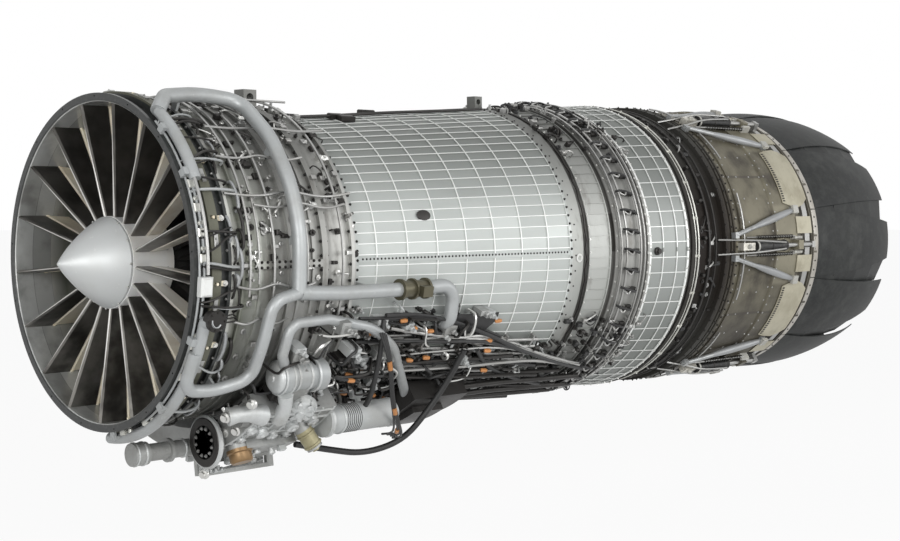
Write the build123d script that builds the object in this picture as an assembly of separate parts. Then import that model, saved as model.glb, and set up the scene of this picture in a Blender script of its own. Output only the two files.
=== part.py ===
from build123d import *
import math
import os

# Jet engine: an afterburning turbofan with a gridded bypass duct, variable inlet flaps and variable nozzle.
# Frame: X runs aft along the shaft, Z is up, the origin is the centre of the inlet flange's front face.
# Angles are in degrees from the top towards the port side (-Y), so 90 is port and 180 is the bottom.

# Stations along the shaft, in mm
X_INLET_END = 150.0
X_FAN_END = 560.0
X_DUCT_START = 746.0
X_DUCT_END = 1846.0
X_MIDDLE_END = 2315.0
X_REAR_END = 2573.0
X_EXHAUST_END = 2926.0
X_SUPPORT_END = 3585.0
X_HINGE = 3600.0
X_EXIT = 4390.0

# Outer radii along the engine
LIP_R = 600.0
DUCT_FRONT_R = 535.0
DUCT_REAR_R = 613.0
REAR_SECTION_R = 660.0
EXHAUST_R = 632.0
SUPPORT_R = 650.0
PANEL_R = 657.0
FLANGE_R = 662.0
SLIDE_R = 640.0
HINGE_R = 645.0
EXIT_R = 599.0

# Walls, flanges and running gaps
CASE_WALL = 7.0
SKIN = 3.5
FLANGE = 12.0
RUNNING = 0.05
TIP_GAP = 2.0
LAND_R = 588.0

# Inlet: struts, hub, nose and flaps
STRUT_COUNT = 17
STRUT_FIRST = 180.0
BORE_R = 570.0
HUB_R = 165.0
HUB_END = 215.0
HUB_WALL = 8.0
NOSE_TIP = -150.0
NOSE_BASE = 50.0
STRUT_TAIL = 116.0
STRUT_THICK = 12.0
STEM_X = 126.0
STEM_R = 8.0
LEVER_ARM = 40.0
LEVER_R = 588.0
LEVER_THICK = 8.0
DRIVE_RING_R = 600.0
DRIVE_RING_THICK = 8.0
LEVER_PIN_R = 5.0
FLAP_GAP = 6.0
INTAKE_BOLTS = 17
INTAKE_BOLT_R = 3.3
INTAKE_BOLT_CIRCLE_R = 589.0

# Rotors
SHAFT_R = 50.0
CORE_SHAFT_R = 80.0
CORE_BORE_R = 62.0
BEARING_WIDTH = 22.0
BEARING_OUT_R = 75.0
CORE_BEARING_OUT_R = 102.0
FAN_BLADES = 26
FAN_FRONT_X = 232.0
FAN_REAR_X = 400.0
BLADE_STRIPS = 4
BLADE_LENGTHENS = 0.05
BLADE_THINS = 0.5
BLADE_CUT_R = 590.0
COMPRESSOR_ROWS = 9
COMPRESSOR_PITCH = 46.0
COMPRESSOR_X = 772.0
ROTOR_BLADES = 14
CORE_FRONT_R = 300.0
CORE_REAR_R = 276.0
BURNER_R = 360.0
TURBINE_R = 340.0
X_DIFFUSER = 1205.0
X_BURNER_END = 1475.0
X_TURBINE_END = 1790.0

# Gridded duct
GRID_RIBS = 84
RIB_HEIGHT = 4.5
RIB_THICK = 3.5
RING_RIB_HEIGHT = 5.5
RING_RIB_PITCH = 145.0
RING_RIB_FIRST = 95.0
SPLIT_FLANGE = 9.0

# Afterburner liner and the two rings that carry it
LINER_R = 572.0
LINER_SEATS = (2400.0, 2860.0)

# Nozzle
PETAL_COUNT = 12
PETAL_CLOSE = 16.0
PETAL_START = 3618.0
PETAL_SKIN = 5.0
PETAL_BULGE_X = 3960.0
PETAL_BULGE_R = 671.0
PETAL_EDGE_GAP = 3.0
SEAL_START = 3790.0
SEAL_END = 4352.0
SEAL_ROOT = 3.5
SEAL_LAP = 12.0
SEAL_SKIN = 3.0
SEAL_CLEAR = 4.0
SEAL_SHOULDER = 4.0
SEAL_RISE = 1.0
LEAF_START = 3640.0
LEAF_START_R = 612.0
THROAT_X = 3900.0
THROAT_R = 540.0
LEAF_EXIT_R = 550.0
PIN_R = 6.0
KNUCKLE_R = 10.0
ACTUATORS = 6
ACTUATOR_CENTRE_R = 684.0
ROD_R = 10.0
CYLINDER_BORE_R = 16.0
GUIDE_X = 3390.0
ACTUATOR_X = 3040.0
ACTUATOR_LENGTH = 250.0
SLIDE_RING_X = 3505.0
SLIDE_RING_WIDTH = 40.0

# Accessories and pipes
GEARBOX_START = 350.0
GEARBOX_END = 700.0
GEARBOX_IN_R = 622.0
GEARBOX_OUT_R = 712.0
PAD_X = 304.0
PAD_ANGLE = 162.0
PAD_CENTRE_R = 684.0
PAD_BOLTS = 6
PAD_BOLT_R = 4.3
PAD_BOLT_CIRCLE_R = 74.0
PUMP_ANGLE = 128.4
PUMP_CENTRE_R = 648.0
PUMP_R = 52.0
GENERATOR_ANGLE = 147.0
GENERATOR_R = 54.0
MAIN_PIPE_R = 26.0
BRANCH_PIPE_R = 22.0
THIN_PIPE_R = 19.0
MANIFOLD_X = 40.0
MANIFOLD_CENTRE_R = 624.0
MANIFOLD_R = 20.0
HOOP_R = 636.0
CONTROL_START = 1150.0
FITTING_BAND = 2108.0
VALVE_X = 900.0
VALVE_LENGTH = 135.0
VALVE_ANGLE = 100.5
VALVE_CENTRE_R = 606.0
TUBE_R = 7.0


# Geometry helpers

def at(x, angle, r):
    """Point at station x, at an angle from the top and a radius from the shaft."""
    turn = math.radians(angle)
    return Vector(x, -r * math.sin(turn), r * math.cos(turn))


def turned(points, arc=360.0):
    """Solid of revolution about the shaft from (x, r) corners, starting at the top."""
    profile = Plane.XZ * make_face(Polyline(*points, close=True))
    return revolve(profile, Axis.X, arc)


def tube(x0, x1, r_in, r_out):
    """Plain ring about the shaft."""
    return turned([(x0, r_in), (x1, r_in), (x1, r_out), (x0, r_out)])


def spun(piece, angle):
    """The piece turned about the shaft."""
    return Rot(angle, 0, 0) * piece


def round_the_shaft(piece, count, first=0.0):
    """Copies of the piece spaced evenly round the shaft."""
    return [spun(piece, first + i * 360.0 / count) for i in range(count)]


def radial_rod(x, r0, r1, radius):
    """Cylinder standing out from the shaft at the top."""
    return Pos(x, 0, (r0 + r1) / 2) * Cylinder(radius, r1 - r0)


def axial_rod(x0, x1, y, z, radius):
    """Cylinder along X."""
    return Pos((x0 + x1) / 2, y, z) * Rot(0, 90, 0) * Cylinder(radius, x1 - x0)


def block(x0, x1, width, r0, r1):
    """Box at the top, centred across the shaft's vertical plane."""
    return Pos((x0 + x1) / 2, 0, (r0 + r1) / 2) * Box(x1 - x0, width, r1 - r0)


def rod_between(start, end, radius):
    """Round rod from one point to another."""
    run = end - start
    foot = Plane(origin=start, z_dir=run.normalized())
    return foot * Pos(0, 0, run.length / 2) * Cylinder(radius, run.length)


def pipe(points, radius, bend):
    """Round pipe along straight runs joined by bends."""
    path = FilletPolyline(*points, radius=bend)
    section = Plane(origin=path @ 0, z_dir=path % 0) * Circle(radius)
    return sweep(section, path=path)


def slope(x, x0, r0, x1, r1):
    """Radius on a straight taper."""
    return r0 + (r1 - r0) * (x - x0) / (x1 - x0)


def rib_top(x):
    """Radius over the bypass duct's ring ribs and flanges."""
    return slope(x, X_DUCT_START, DUCT_FRONT_R, X_DUCT_END, DUCT_REAR_R)


def duct_r(x):
    """Outer radius of the bypass duct's skin."""
    return rib_top(x) - RING_RIB_HEIGHT


def middle_r(x):
    """Outer radius of the skin from the duct's end to the exhaust case."""
    return slope(x, X_DUCT_END, DUCT_REAR_R, X_REAR_END, REAR_SECTION_R) - RING_RIB_HEIGHT


def save(name, piece):
    """Write one node."""
    export_step(piece, f"parts/{name}.step")


# Inlet

def inlet_ring():
    """Outer ring with lip, rail for the flap drive ring, stem land and intake bolt holes."""
    wall = BORE_R + CASE_WALL
    rail = (64.0, 72.0)
    ring = turned([
        (0, BORE_R + 6), (6, BORE_R), (X_INLET_END, BORE_R), (X_INLET_END, LIP_R - 2),
        (X_INLET_END - FLANGE, LIP_R - 2), (X_INLET_END - FLANGE, LEVER_R - 2), (STEM_X - 14, LEVER_R - 2),
        (STEM_X - 14, wall), (rail[1], wall), (rail[1], DRIVE_RING_R - RUNNING),
        (rail[0], DRIVE_RING_R - RUNNING), (rail[0], wall), (FLANGE, wall), (FLANGE, LIP_R), (0, LIP_R)])
    bore = radial_rod(STEM_X, BORE_R - 10, LEVER_R + 10, STEM_R + RUNNING)
    bolt = axial_rod(-1, FLANGE + 1, 0, INTAKE_BOLT_CIRCLE_R, INTAKE_BOLT_R)
    ring = ring - round_the_shaft(bore, STRUT_COUNT, STRUT_FIRST)
    return ring - round_the_shaft(bolt, INTAKE_BOLTS)


def strut_section(nose_x):
    """Half-sharp nose and blunt tail, from the nose to the tail station."""
    half = STRUT_THICK / 2
    right = [(nose_x, 1.2), (nose_x + 8, half), (STRUT_TAIL, half - 1)]
    return make_face(Polyline(*right, *[(x, -y) for x, y in reversed(right)], close=True))


def inlet_struts():
    """Thin streamlined struts from the hub to the ring, leaning forward towards the lip."""
    root = Plane.XY.offset(HUB_R - 20) * strut_section(NOSE_BASE + 6)
    tip = Plane.XY.offset(BORE_R + 20) * strut_section(3.0)
    strut = loft([root, tip], ruled=True) & tube(0, X_INLET_END, HUB_R, BORE_R)
    return Compound(children=round_the_shaft(strut, STRUT_COUNT, STRUT_FIRST))


def inlet_flap():
    """Trailing flap with its trunnions, drive lever and lever pin, at the top."""
    root_r = HUB_R + FLAP_GAP
    tip_r = BORE_R - FLAP_GAP
    sections = [Plane.XY.offset(r) * flap_section(chord) for r, chord in ((root_r, 56.0), (tip_r, 86.0))]
    blade = loft(sections, ruled=True)
    stem = radial_rod(STEM_X, tip_r - 2, LEVER_R + 1, STEM_R)
    root_pin = radial_rod(STEM_X, HUB_R - HUB_WALL, root_r + 2, STEM_R - 3)
    lever_x = STEM_X - LEVER_ARM
    right = [(STEM_X + 9, 4), (STEM_X + 4, 9), (STEM_X - 6, 9), (lever_x - 2, 7), (lever_x - 7, 3)]
    outline = Polyline(*right, *[(x, -y) for x, y in reversed(right)], close=True)
    lever = extrude(Plane.XY.offset(LEVER_R) * make_face(outline), LEVER_THICK)
    pin = radial_rod(lever_x, LEVER_R + 1, DRIVE_RING_R + DRIVE_RING_THICK + 3, LEVER_PIN_R)
    return blade + [stem, root_pin, lever, pin]


def flap_section(chord):
    """Blunt nose at the trunnions and a thin tail."""
    return make_face(Polyline((STEM_X - 6, -3), (STEM_X, -6.5), (STEM_X + chord, -1), (STEM_X + chord, 1),
                              (STEM_X, 6.5), (STEM_X - 6, 3), close=True))


def flap_drive_ring():
    """Ring that turns on its rail and swings all the flap levers, with a slot for each lever pin."""
    ring = tube(64.0, 102.0, DRIVE_RING_R, DRIVE_RING_R + DRIVE_RING_THICK)
    slot = block(STEM_X - LEVER_ARM - 11, STEM_X - LEVER_ARM + 11, 2 * (LEVER_PIN_R + 1), DRIVE_RING_R - 5,
                 DRIVE_RING_R + DRIVE_RING_THICK + 5)
    return ring - round_the_shaft(slot, STRUT_COUNT, STRUT_FIRST)


def inlet_hub():
    """Hub barrel with the fan bearing's diaphragm and the flaps' inner pin holes."""
    web = 150.0
    hub = turned([
        (NOSE_BASE, HUB_R - 20), (NOSE_BASE + 6, HUB_R - 20), (NOSE_BASE + 6, HUB_R - HUB_WALL),
        (web, HUB_R - HUB_WALL), (web, BEARING_OUT_R + 10), (web - 8, BEARING_OUT_R + 10),
        (web - 8, BEARING_OUT_R), (web + BEARING_WIDTH, BEARING_OUT_R),
        (web + BEARING_WIDTH, BEARING_OUT_R + 10), (web + 8, BEARING_OUT_R + 10),
        (web + 8, HUB_R - HUB_WALL), (HUB_END, HUB_R - HUB_WALL), (HUB_END, HUB_R), (NOSE_BASE, HUB_R)])
    hole = radial_rod(STEM_X, HUB_R - 20, HUB_R + 5, STEM_R - 3 + RUNNING)
    return hub - round_the_shaft(hole, STRUT_COUNT, STRUT_FIRST)


def bullet_nose():
    """Fixed nose cone: a thin shell with slightly rounded flanks, a blunt tip and a base ring."""
    base = HUB_R - 2
    skirt = NOSE_BASE - 8
    wall = 5.0
    outer = ThreePointArc((NOSE_TIP, 3), (NOSE_TIP * 0.42, base * 0.55), (skirt, base))
    inner = ThreePointArc((skirt, base - wall), (NOSE_TIP * 0.42 + 3, base * 0.55 - wall), (NOSE_TIP + 10, 3))
    rim = Polyline(
        (skirt, base), (NOSE_BASE, base), (NOSE_BASE, base - 16), (skirt, base - 16), (skirt, base - wall))
    tip = Polyline((NOSE_TIP + 10, 3), (NOSE_TIP + 10, 0), (NOSE_TIP, 0), (NOSE_TIP, 3))
    return revolve(Plane.XZ * make_face([outer, rim, inner, tip]), Axis.X)


# Fan section

def fan_case():
    """Fan casing with stiffening rings, a bracket land and the split flanges along both sides."""
    skin = (X_INLET_END + FLANGE, 580.0, X_FAN_END - FLANGE, 573.0)
    land_x = 406.0
    points = [(X_INLET_END, BORE_R), (330, BORE_R), (X_FAN_END, 562), (X_FAN_END, LAND_R), (skin[2], LAND_R),
              (skin[2], skin[3])]
    land = (land_x, LAND_R - slope(land_x, *skin))
    for x, height in ((512, 8), (452, 8), land, (338, 8), (280, 8), (205, 12)):
        r = slope(x, *skin)
        points += [(x + 5, r), (x + 5, r + height), (x - 5, r + height), (x - 5, r)]
    points += [skin[:2], (X_INLET_END + FLANGE, LIP_R - 2), (X_INLET_END, LIP_R - 2)]
    bar = block(X_INLET_END + FLANGE, X_FAN_END - FLANGE, 26.0, 572.0, LIP_R - 10)
    return turned(points) + [spun(bar, 90), spun(bar, -90)]


def fan_blade(x, chord, thick, root_r, root_turn, tip_turn):
    """Twisted blade built of flat facets, at the top; its tip is cut to the case afterwards."""
    rows = []
    for i in range(BLADE_STRIPS + 1):
        share = i / BLADE_STRIPS
        length, width = chord * (1 + BLADE_LENGTHENS * share), thick * (1 - BLADE_THINS * share)
        turn = math.radians(slope(share, 0, root_turn, 1, tip_turn))
        r = slope(share, 0, root_r, 1, BLADE_CUT_R)
        outline = [(-length / 2, 0), (-length / 8, width / 2), (length / 2, 0), (-length / 8, -width / 2)]
        rows.append([
            Vector(x + u * math.cos(turn) - v * math.sin(turn), u * math.sin(turn) + v * math.cos(turn), r)
            for u, v in outline])
    faces = [Face(Wire.make_polygon(rows[0])), Face(Wire.make_polygon(rows[-1]))]
    for low, high in zip(rows, rows[1:]):
        for a, b, c, d in zip(low, low[1:] + low[:1], high, high[1:] + high[:1]):
            faces += [Face(Wire.make_polygon([a, b, d])), Face(Wire.make_polygon([a, d, c]))]
    return Solid(Shell(faces))


def fan_rotor():
    """Two-stage fan: blades on a shared drum carried by the low-speed shaft."""
    front, rear = FAN_FRONT_X, FAN_REAR_X
    drum = turned([
        (front - 12, 150), (rear + 45, 205), (rear + 45, 190), (rear + 20, 184), (rear + 20, SHAFT_R),
        (rear - 10, SHAFT_R), (rear - 10, 172), (front + 30, 140), (front + 30, SHAFT_R),
        (front - 5, SHAFT_R), (front - 5, 138), (front - 12, 138)])
    tips = turned([(front - 40, 60), (rear + 80, 60), (rear + 80, 564 - TIP_GAP - 2), (330, BORE_R - TIP_GAP),
                   (front - 40, BORE_R - TIP_GAP)])
    blades = [fan_blade(front + 28, 74, 9, 150, 25, 58), fan_blade(rear + 14, 60, 7, 180, 25, 52)]
    rows = [round_the_shaft(blade & tips, FAN_BLADES) for blade in blades]
    return drum + rows[0] + rows[1]


def fan_frame():
    """Main frame behind the fan: outer ring, radial struts, splitter and the core bearing's hub."""
    outer = turned([
        (X_FAN_END, 562), (X_DUCT_START, 524), (X_DUCT_START, DUCT_FRONT_R),
        (X_DUCT_START - FLANGE, DUCT_FRONT_R), (X_DUCT_START - 40, 542), (X_DUCT_START - 40, 576),
        (X_DUCT_START - 54, 576), (X_DUCT_START - 54, 560), (X_FAN_END + FLANGE, 572),
        (X_FAN_END + FLANGE, LAND_R), (X_FAN_END, LAND_R)])
    splitter = turned([
        (545, 306), (570, CORE_FRONT_R), (X_DUCT_START, CORE_FRONT_R), (X_DUCT_START, CORE_FRONT_R + 28),
        (X_DUCT_START - FLANGE, CORE_FRONT_R + 28), (X_DUCT_START - FLANGE, CORE_FRONT_R + 10),
        (570, CORE_FRONT_R + 10)])
    bearing_x = 700.0
    hub = turned([
        (X_FAN_END + 20, 170), (X_FAN_END + 20, 195), (X_DUCT_START, 186), (X_DUCT_START, 176),
        (bearing_x + 16, 178), (bearing_x + 16, CORE_BEARING_OUT_R + 10),
        (bearing_x + BEARING_WIDTH, CORE_BEARING_OUT_R + 10),
        (bearing_x + BEARING_WIDTH, CORE_BEARING_OUT_R), (bearing_x, CORE_BEARING_OUT_R), (bearing_x, 172)])
    strut = block(600, 690, 16, 180, 557)
    lug = block(620, 680, 60, 553, 642) - Pos(650, 0, 612) * Rot(90, 0, 0) * Cylinder(16, 80)
    return outer + [splitter, hub] + round_the_shaft(strut, 8, 22.5) + [lug]


# Core

def core_rotor():
    """High-speed spool: compressor drum with its blade rows, core shaft and turbine stage."""
    last = COMPRESSOR_X + (COMPRESSOR_ROWS - 1) * COMPRESSOR_PITCH
    drum = turned([
        (690, CORE_BORE_R), (1560, CORE_BORE_R), (1560, 240), (1515, 240), (1515, CORE_SHAFT_R),
        (COMPRESSOR_X, CORE_SHAFT_R), (COMPRESSOR_X, 172), (last + 30, 222), (last + 30, 238),
        (COMPRESSOR_X - 14, 188), (COMPRESSOR_X - 14, CORE_SHAFT_R), (690, CORE_SHAFT_R)])
    rows = []
    for i in range(COMPRESSOR_ROWS):
        x = COMPRESSOR_X + i * COMPRESSOR_PITCH
        tip = slope(x + 20, X_DUCT_START, CORE_FRONT_R, X_DIFFUSER, CORE_REAR_R) - TIP_GAP
        rows.append(comb(x, 20.0, 185.0 + 5.5 * i, tip, ROTOR_BLADES))
    rows.append(comb(1520.0, 34.0, 235.0, TURBINE_R - TIP_GAP, ROTOR_BLADES))
    return drum + rows


def comb(x, width, root_r, tip_r, count):
    """Ring of flat radial blades, set in one piece on its drum."""
    pitch = 2 * math.pi / count
    steps = [(root_r, -0.2), (tip_r, -0.05), (tip_r, 0.05), (root_r, 0.2)]
    corners = []
    for i in range(count):
        for r, share in steps:
            turn = (i + share) * pitch
            corners.append((r * math.cos(turn), r * math.sin(turn)))
    face = Plane.YZ.offset(x) * (make_face(Polyline(*corners, close=True)) - Circle(root_r - 6))
    return extrude(face, width)


def core_case():
    """Core casing from the fan frame to the turbine frame, with diffuser wall and turbine shroud."""
    shell = turned([
        (X_DUCT_START, CORE_FRONT_R), (X_DIFFUSER - 10, CORE_REAR_R), (X_DIFFUSER, CORE_REAR_R),
        (X_DIFFUSER, CORE_BEARING_OUT_R), (X_DIFFUSER + BEARING_WIDTH, CORE_BEARING_OUT_R),
        (X_DIFFUSER + BEARING_WIDTH, CORE_BEARING_OUT_R + 12), (X_DIFFUSER + 12, CORE_BEARING_OUT_R + 12),
        (X_DIFFUSER + 12, CORE_REAR_R + 4), (X_DIFFUSER + 70, BURNER_R - 6), (X_BURNER_END, BURNER_R - 6),
        (X_BURNER_END, TURBINE_R - 20), (X_BURNER_END + 10, TURBINE_R - 20), (X_BURNER_END + 20, TURBINE_R),
        (X_TURBINE_END, TURBINE_R), (X_TURBINE_END, TURBINE_R + 26),
        (X_TURBINE_END - FLANGE, TURBINE_R + 26), (X_TURBINE_END - FLANGE, TURBINE_R + 8),
        (X_BURNER_END + 30, TURBINE_R + 8), (X_BURNER_END + 10, BURNER_R + 18),
        (X_BURNER_END - 2, BURNER_R + 18), (X_BURNER_END - 2, BURNER_R), (X_DIFFUSER + 70, BURNER_R),
        (X_DIFFUSER, CORE_REAR_R + 30), (X_DIFFUSER - FLANGE, CORE_REAR_R + 30),
        (X_DIFFUSER - FLANGE, CORE_REAR_R + 8), (X_DUCT_START + FLANGE, CORE_FRONT_R + 8),
        (X_DUCT_START + FLANGE, CORE_FRONT_R + 28), (X_DUCT_START, CORE_FRONT_R + 28)])
    window = axial_rod(X_DIFFUSER - 5, X_DIFFUSER + 20, 0, 240, 24)
    return shell - round_the_shaft(window, 12)


def combustor_liner():
    """Annular burner can with its dome, standing on the turbine's nozzle ring."""
    end = X_BURNER_END
    return turned([
        (end, TURBINE_R - 16), (end - 60, TURBINE_R - 14), (end - 170, TURBINE_R - 20), (end - 190, 290),
        (end - 190, 250), (end - 170, 222), (end - 60, 222), (end, 240), (end, 244), (end - 60, 226),
        (end - 168, 226), (end - 186, 251), (end - 186, 289), (end - 168, TURBINE_R - 24),
        (end - 60, TURBINE_R - 18), (end, TURBINE_R - 20)])


def low_turbine():
    """Low-speed shaft from the fan to the two turbine discs."""
    shaft = tube(120, 1770, SHAFT_R - 15, SHAFT_R)
    discs = [turned([(x, SHAFT_R - 2), (x + 34, SHAFT_R - 2), (x + 34, 90), (x + 24, 110), (x + 24, 215),
                     (x + 36, 222), (x + 36, 236), (x - 2, 236), (x - 2, 222), (x + 10, 215), (x + 10, 110),
                     (x, 90)]) for x in (1600, 1690)]
    rows = [comb(x, 30.0, 233.0, TURBINE_R - TIP_GAP, ROTOR_BLADES) for x in (1602, 1692)]
    return shaft + discs + rows


def turbine_frame():
    """Rear frame with struts, rear bearing hub and the tail cone."""
    end = X_TURBINE_END
    ring = turned([
        (end, TURBINE_R), (end + 54, TURBINE_R), (end + 54, TURBINE_R + 8), (end + FLANGE, TURBINE_R + 8),
        (end + FLANGE, TURBINE_R + 26), (end, TURBINE_R + 26)])
    hub = turned([(end - 54, BEARING_OUT_R), (end + 50, BEARING_OUT_R), (end + 50, BEARING_OUT_R + 12),
                  (end - 54, BEARING_OUT_R + 12)])
    cone = turned([
        (end, 226), (end + 60, 228), (end + 200, 170), (end + 420, 20), (end + 420, 0), (end + 414, 0),
        (end + 196, 166), (end + 58, 223), (end, 221)])
    strut = block(end + 6, end + 46, 12, BEARING_OUT_R + 8, TURBINE_R + 4)
    return ring + [hub, cone] + round_the_shaft(strut, 8, 22.5)


def main_bearings():
    """Bearing rings round the two shafts."""
    low = [tube(x, x + BEARING_WIDTH, SHAFT_R + RUNNING, BEARING_OUT_R) for x in (150, X_TURBINE_END - 46)]
    high = [tube(x, x + BEARING_WIDTH, CORE_SHAFT_R + RUNNING, CORE_BEARING_OUT_R) for x in (700, X_DIFFUSER)]
    return Compound(children=low + high)


# Bypass duct

def grid_skin(x0, x1, radius_at, ring_xs, front_flange, rear_flange):
    """Profile corners of a gridded skin with its ring ribs and end flanges."""
    points = [(x0, radius_at(x0) - SKIN), (x1, radius_at(x1) - SKIN)]
    outer = [(x1, radius_at(x1) + rear_flange), (x1 - FLANGE, radius_at(x1) + rear_flange)]
    outer.append((x1 - FLANGE, radius_at(x1 - FLANGE)))
    for x in reversed(ring_xs):
        for dx, height in ((2, 0), (2, RING_RIB_HEIGHT), (-2, RING_RIB_HEIGHT), (-2, 0)):
            outer.append((x + dx, radius_at(x + dx) + height))
    outer += [(x0 + FLANGE, radius_at(x0 + FLANGE)), (x0 + FLANGE, radius_at(x0) + front_flange)]
    outer.append((x0, radius_at(x0) + front_flange))
    return points + outer


def axial_rib(x0, x1, radius_at, thick=RIB_THICK, height=RIB_HEIGHT):
    """One straight rib lying along the skin at the top."""
    outline = Polyline((x0, radius_at(x0) - 1), (x1, radius_at(x1) - 1), (x1, radius_at(x1) + height),
                       (x0, radius_at(x0) + height), close=True)
    return extrude(Plane.XZ * make_face(outline), thick / 2, both=True)


def ring_station(i):
    """Place of one ring rib along the bypass duct."""
    return X_DUCT_START + RING_RIB_FIRST + i * RING_RIB_PITCH


def bypass_duct_half():
    """Upper half of the gridded duct, with a split flange along each side."""
    rings = [ring_station(i) for i in range(7)]
    profile = grid_skin(X_DUCT_START, X_DUCT_END, duct_r, rings, RING_RIB_HEIGHT, RING_RIB_HEIGHT)
    skin = spun(turned(profile, 180), -90)
    pitch = 360.0 / GRID_RIBS
    ends = (X_DUCT_START + FLANGE - 2, X_DUCT_END - FLANGE + 2)
    rib = axial_rib(*ends, duct_r)
    ribs = [spun(rib, -90 + pitch * (i + 0.5)) for i in range(GRID_RIBS // 2)]
    edge = axial_rib(*ends, duct_r, SPLIT_FLANGE, RING_RIB_HEIGHT)
    edges = [spun(Pos(0, side * SPLIT_FLANGE / 2, 0) * edge, side * 90) for side in (-1, 1)]
    return skin + ribs + edges


def duct_middle_section():
    """Sealing band, short gridded section and the fuel-fitting band."""
    short = (1945.0, 2077.0)
    band = FITTING_BAND
    points = [(X_DUCT_END, middle_r(X_DUCT_END) - 8), (1990, middle_r(1990) - 8), (1990, 560), (2002, 560),
              (2002, middle_r(2002) - 8), (X_MIDDLE_END, middle_r(X_MIDDLE_END) - 8)]
    steps = [
        (X_MIDDLE_END, 7), (X_MIDDLE_END - FLANGE, 7), (X_MIDDLE_END - FLANGE, -2), (2290, -2), (2290, 4),
        (2282, 4), (2282, -2), (band + 30, -2), (band + 30, 4), (band + 22, 4), (band + 22, -2), (band, -2),
        (band, 6), (band - 8, 6), (band - 8, -5), (short[1], -5), (short[1], 5), (short[1] - 6, 5),
        (short[1] - 6, 0), (short[0] + 6, 0), (short[0] + 6, 5), (short[0], 5), (short[0], -5), (1910, -5),
        (1910, 5), (X_DUCT_END, 5)]
    points += [(x, middle_r(x) + step) for x, step in steps]
    body = turned(points)
    rib = axial_rib(short[0] + 4, short[1] - 4, middle_r)
    fitting = radial_rod(2190, middle_r(2190) - 4, middle_r(2190) + 10, 9)
    fitting = fitting + block(2196, 2240, 14, middle_r(2220) - 4, middle_r(2220) + 7)
    lug = block(1860, 1904, 50, 612, 672) - Pos(1882, 0, 648) * Rot(90, 0, 0) * Cylinder(12, 80)
    return body + round_the_shaft(rib, GRID_RIBS, 180.0 / GRID_RIBS) + round_the_shaft(fitting, 48) + lug


def duct_rear_section():
    """Third gridded section with its bolted end flange and the liner's support ring."""
    rings = [2405.0, 2495.0]
    points = grid_skin(X_MIDDLE_END, X_REAR_END, middle_r, rings, 7, RING_RIB_HEIGHT)
    body = turned(points)
    hanger = tube(LINER_SEATS[0], LINER_SEATS[0] + 8, LINER_R, middle_r(LINER_SEATS[0]) - 1)
    rib = axial_rib(X_MIDDLE_END + FLANGE - 2, X_REAR_END - FLANGE + 2, middle_r)
    return body + [hanger] + round_the_shaft(rib, 60, 3.0)


# Afterburner and exhaust

def flame_holder():
    """Two gutter rings on radial arms, bolted to the duct's inner flange."""
    def gutter(r):
        return turned([(2030, r), (2070, r + 18), (2070, r + 15), (2034, r), (2070, r - 15), (2070, r - 18)])
    rim = tube(2002, 2010, 560, 584)
    arm = block(2004, 2056, 10, 200, 575)
    return rim + [gutter(300), gutter(440)] + round_the_shaft(arm, 10)


def afterburner_liner():
    """Corrugated heat shield hung inside the exhaust duct."""
    start, end = 2120.0, 3560.0
    waves = 6
    step = (end - start) / waves
    outer = []
    for i in range(waves):
        x = start + i * step
        outer += [(x, LINER_R), (x + step * 0.4, LINER_R), (x + step * 0.7, LINER_R - 7)]
    outer.append((end, LINER_R))
    return turned(outer + [(x, r - 3.0) for x, r in reversed(outer)])


def exhaust_case():
    """Dark exhaust casing with rear flange rings, the liner's hanger and the fuel ring pipe on its clips."""
    back = X_EXHAUST_END
    points = [(X_REAR_END, EXHAUST_R - 6), (back, EXHAUST_R + 4), (back, FLANGE_R)]
    for x in (back - 10, back - 34):
        points += [(x, FLANGE_R), (x, EXHAUST_R + 14), (x - 12, EXHAUST_R + 14), (x - 12, FLANGE_R)]
    points += [
        (back - 79, FLANGE_R), (back - 79, EXHAUST_R + 8), (X_REAR_END + 110, EXHAUST_R + 3),
        (X_REAR_END + 110, EXHAUST_R + 10), (X_REAR_END + 104, EXHAUST_R + 10),
        (X_REAR_END + 104, EXHAUST_R + 3), (X_REAR_END + FLANGE, EXHAUST_R),
        (X_REAR_END + FLANGE, REAR_SECTION_R - 2), (X_REAR_END, REAR_SECTION_R - 2)]
    hanger = tube(LINER_SEATS[1], LINER_SEATS[1] + 8, LINER_R, EXHAUST_R + 5)
    pipe_x = X_REAR_END + 39
    ring = Pos(pipe_x, 0, 0) * Rot(0, 90, 0) * Torus(FLANGE_R - 9, 8)
    clip = block(pipe_x - 7, pipe_x + 7, 16, EXHAUST_R - 1, FLANGE_R - 9)
    return turned(points) + [hanger, ring] + round_the_shaft(clip, 12, 15)


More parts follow.
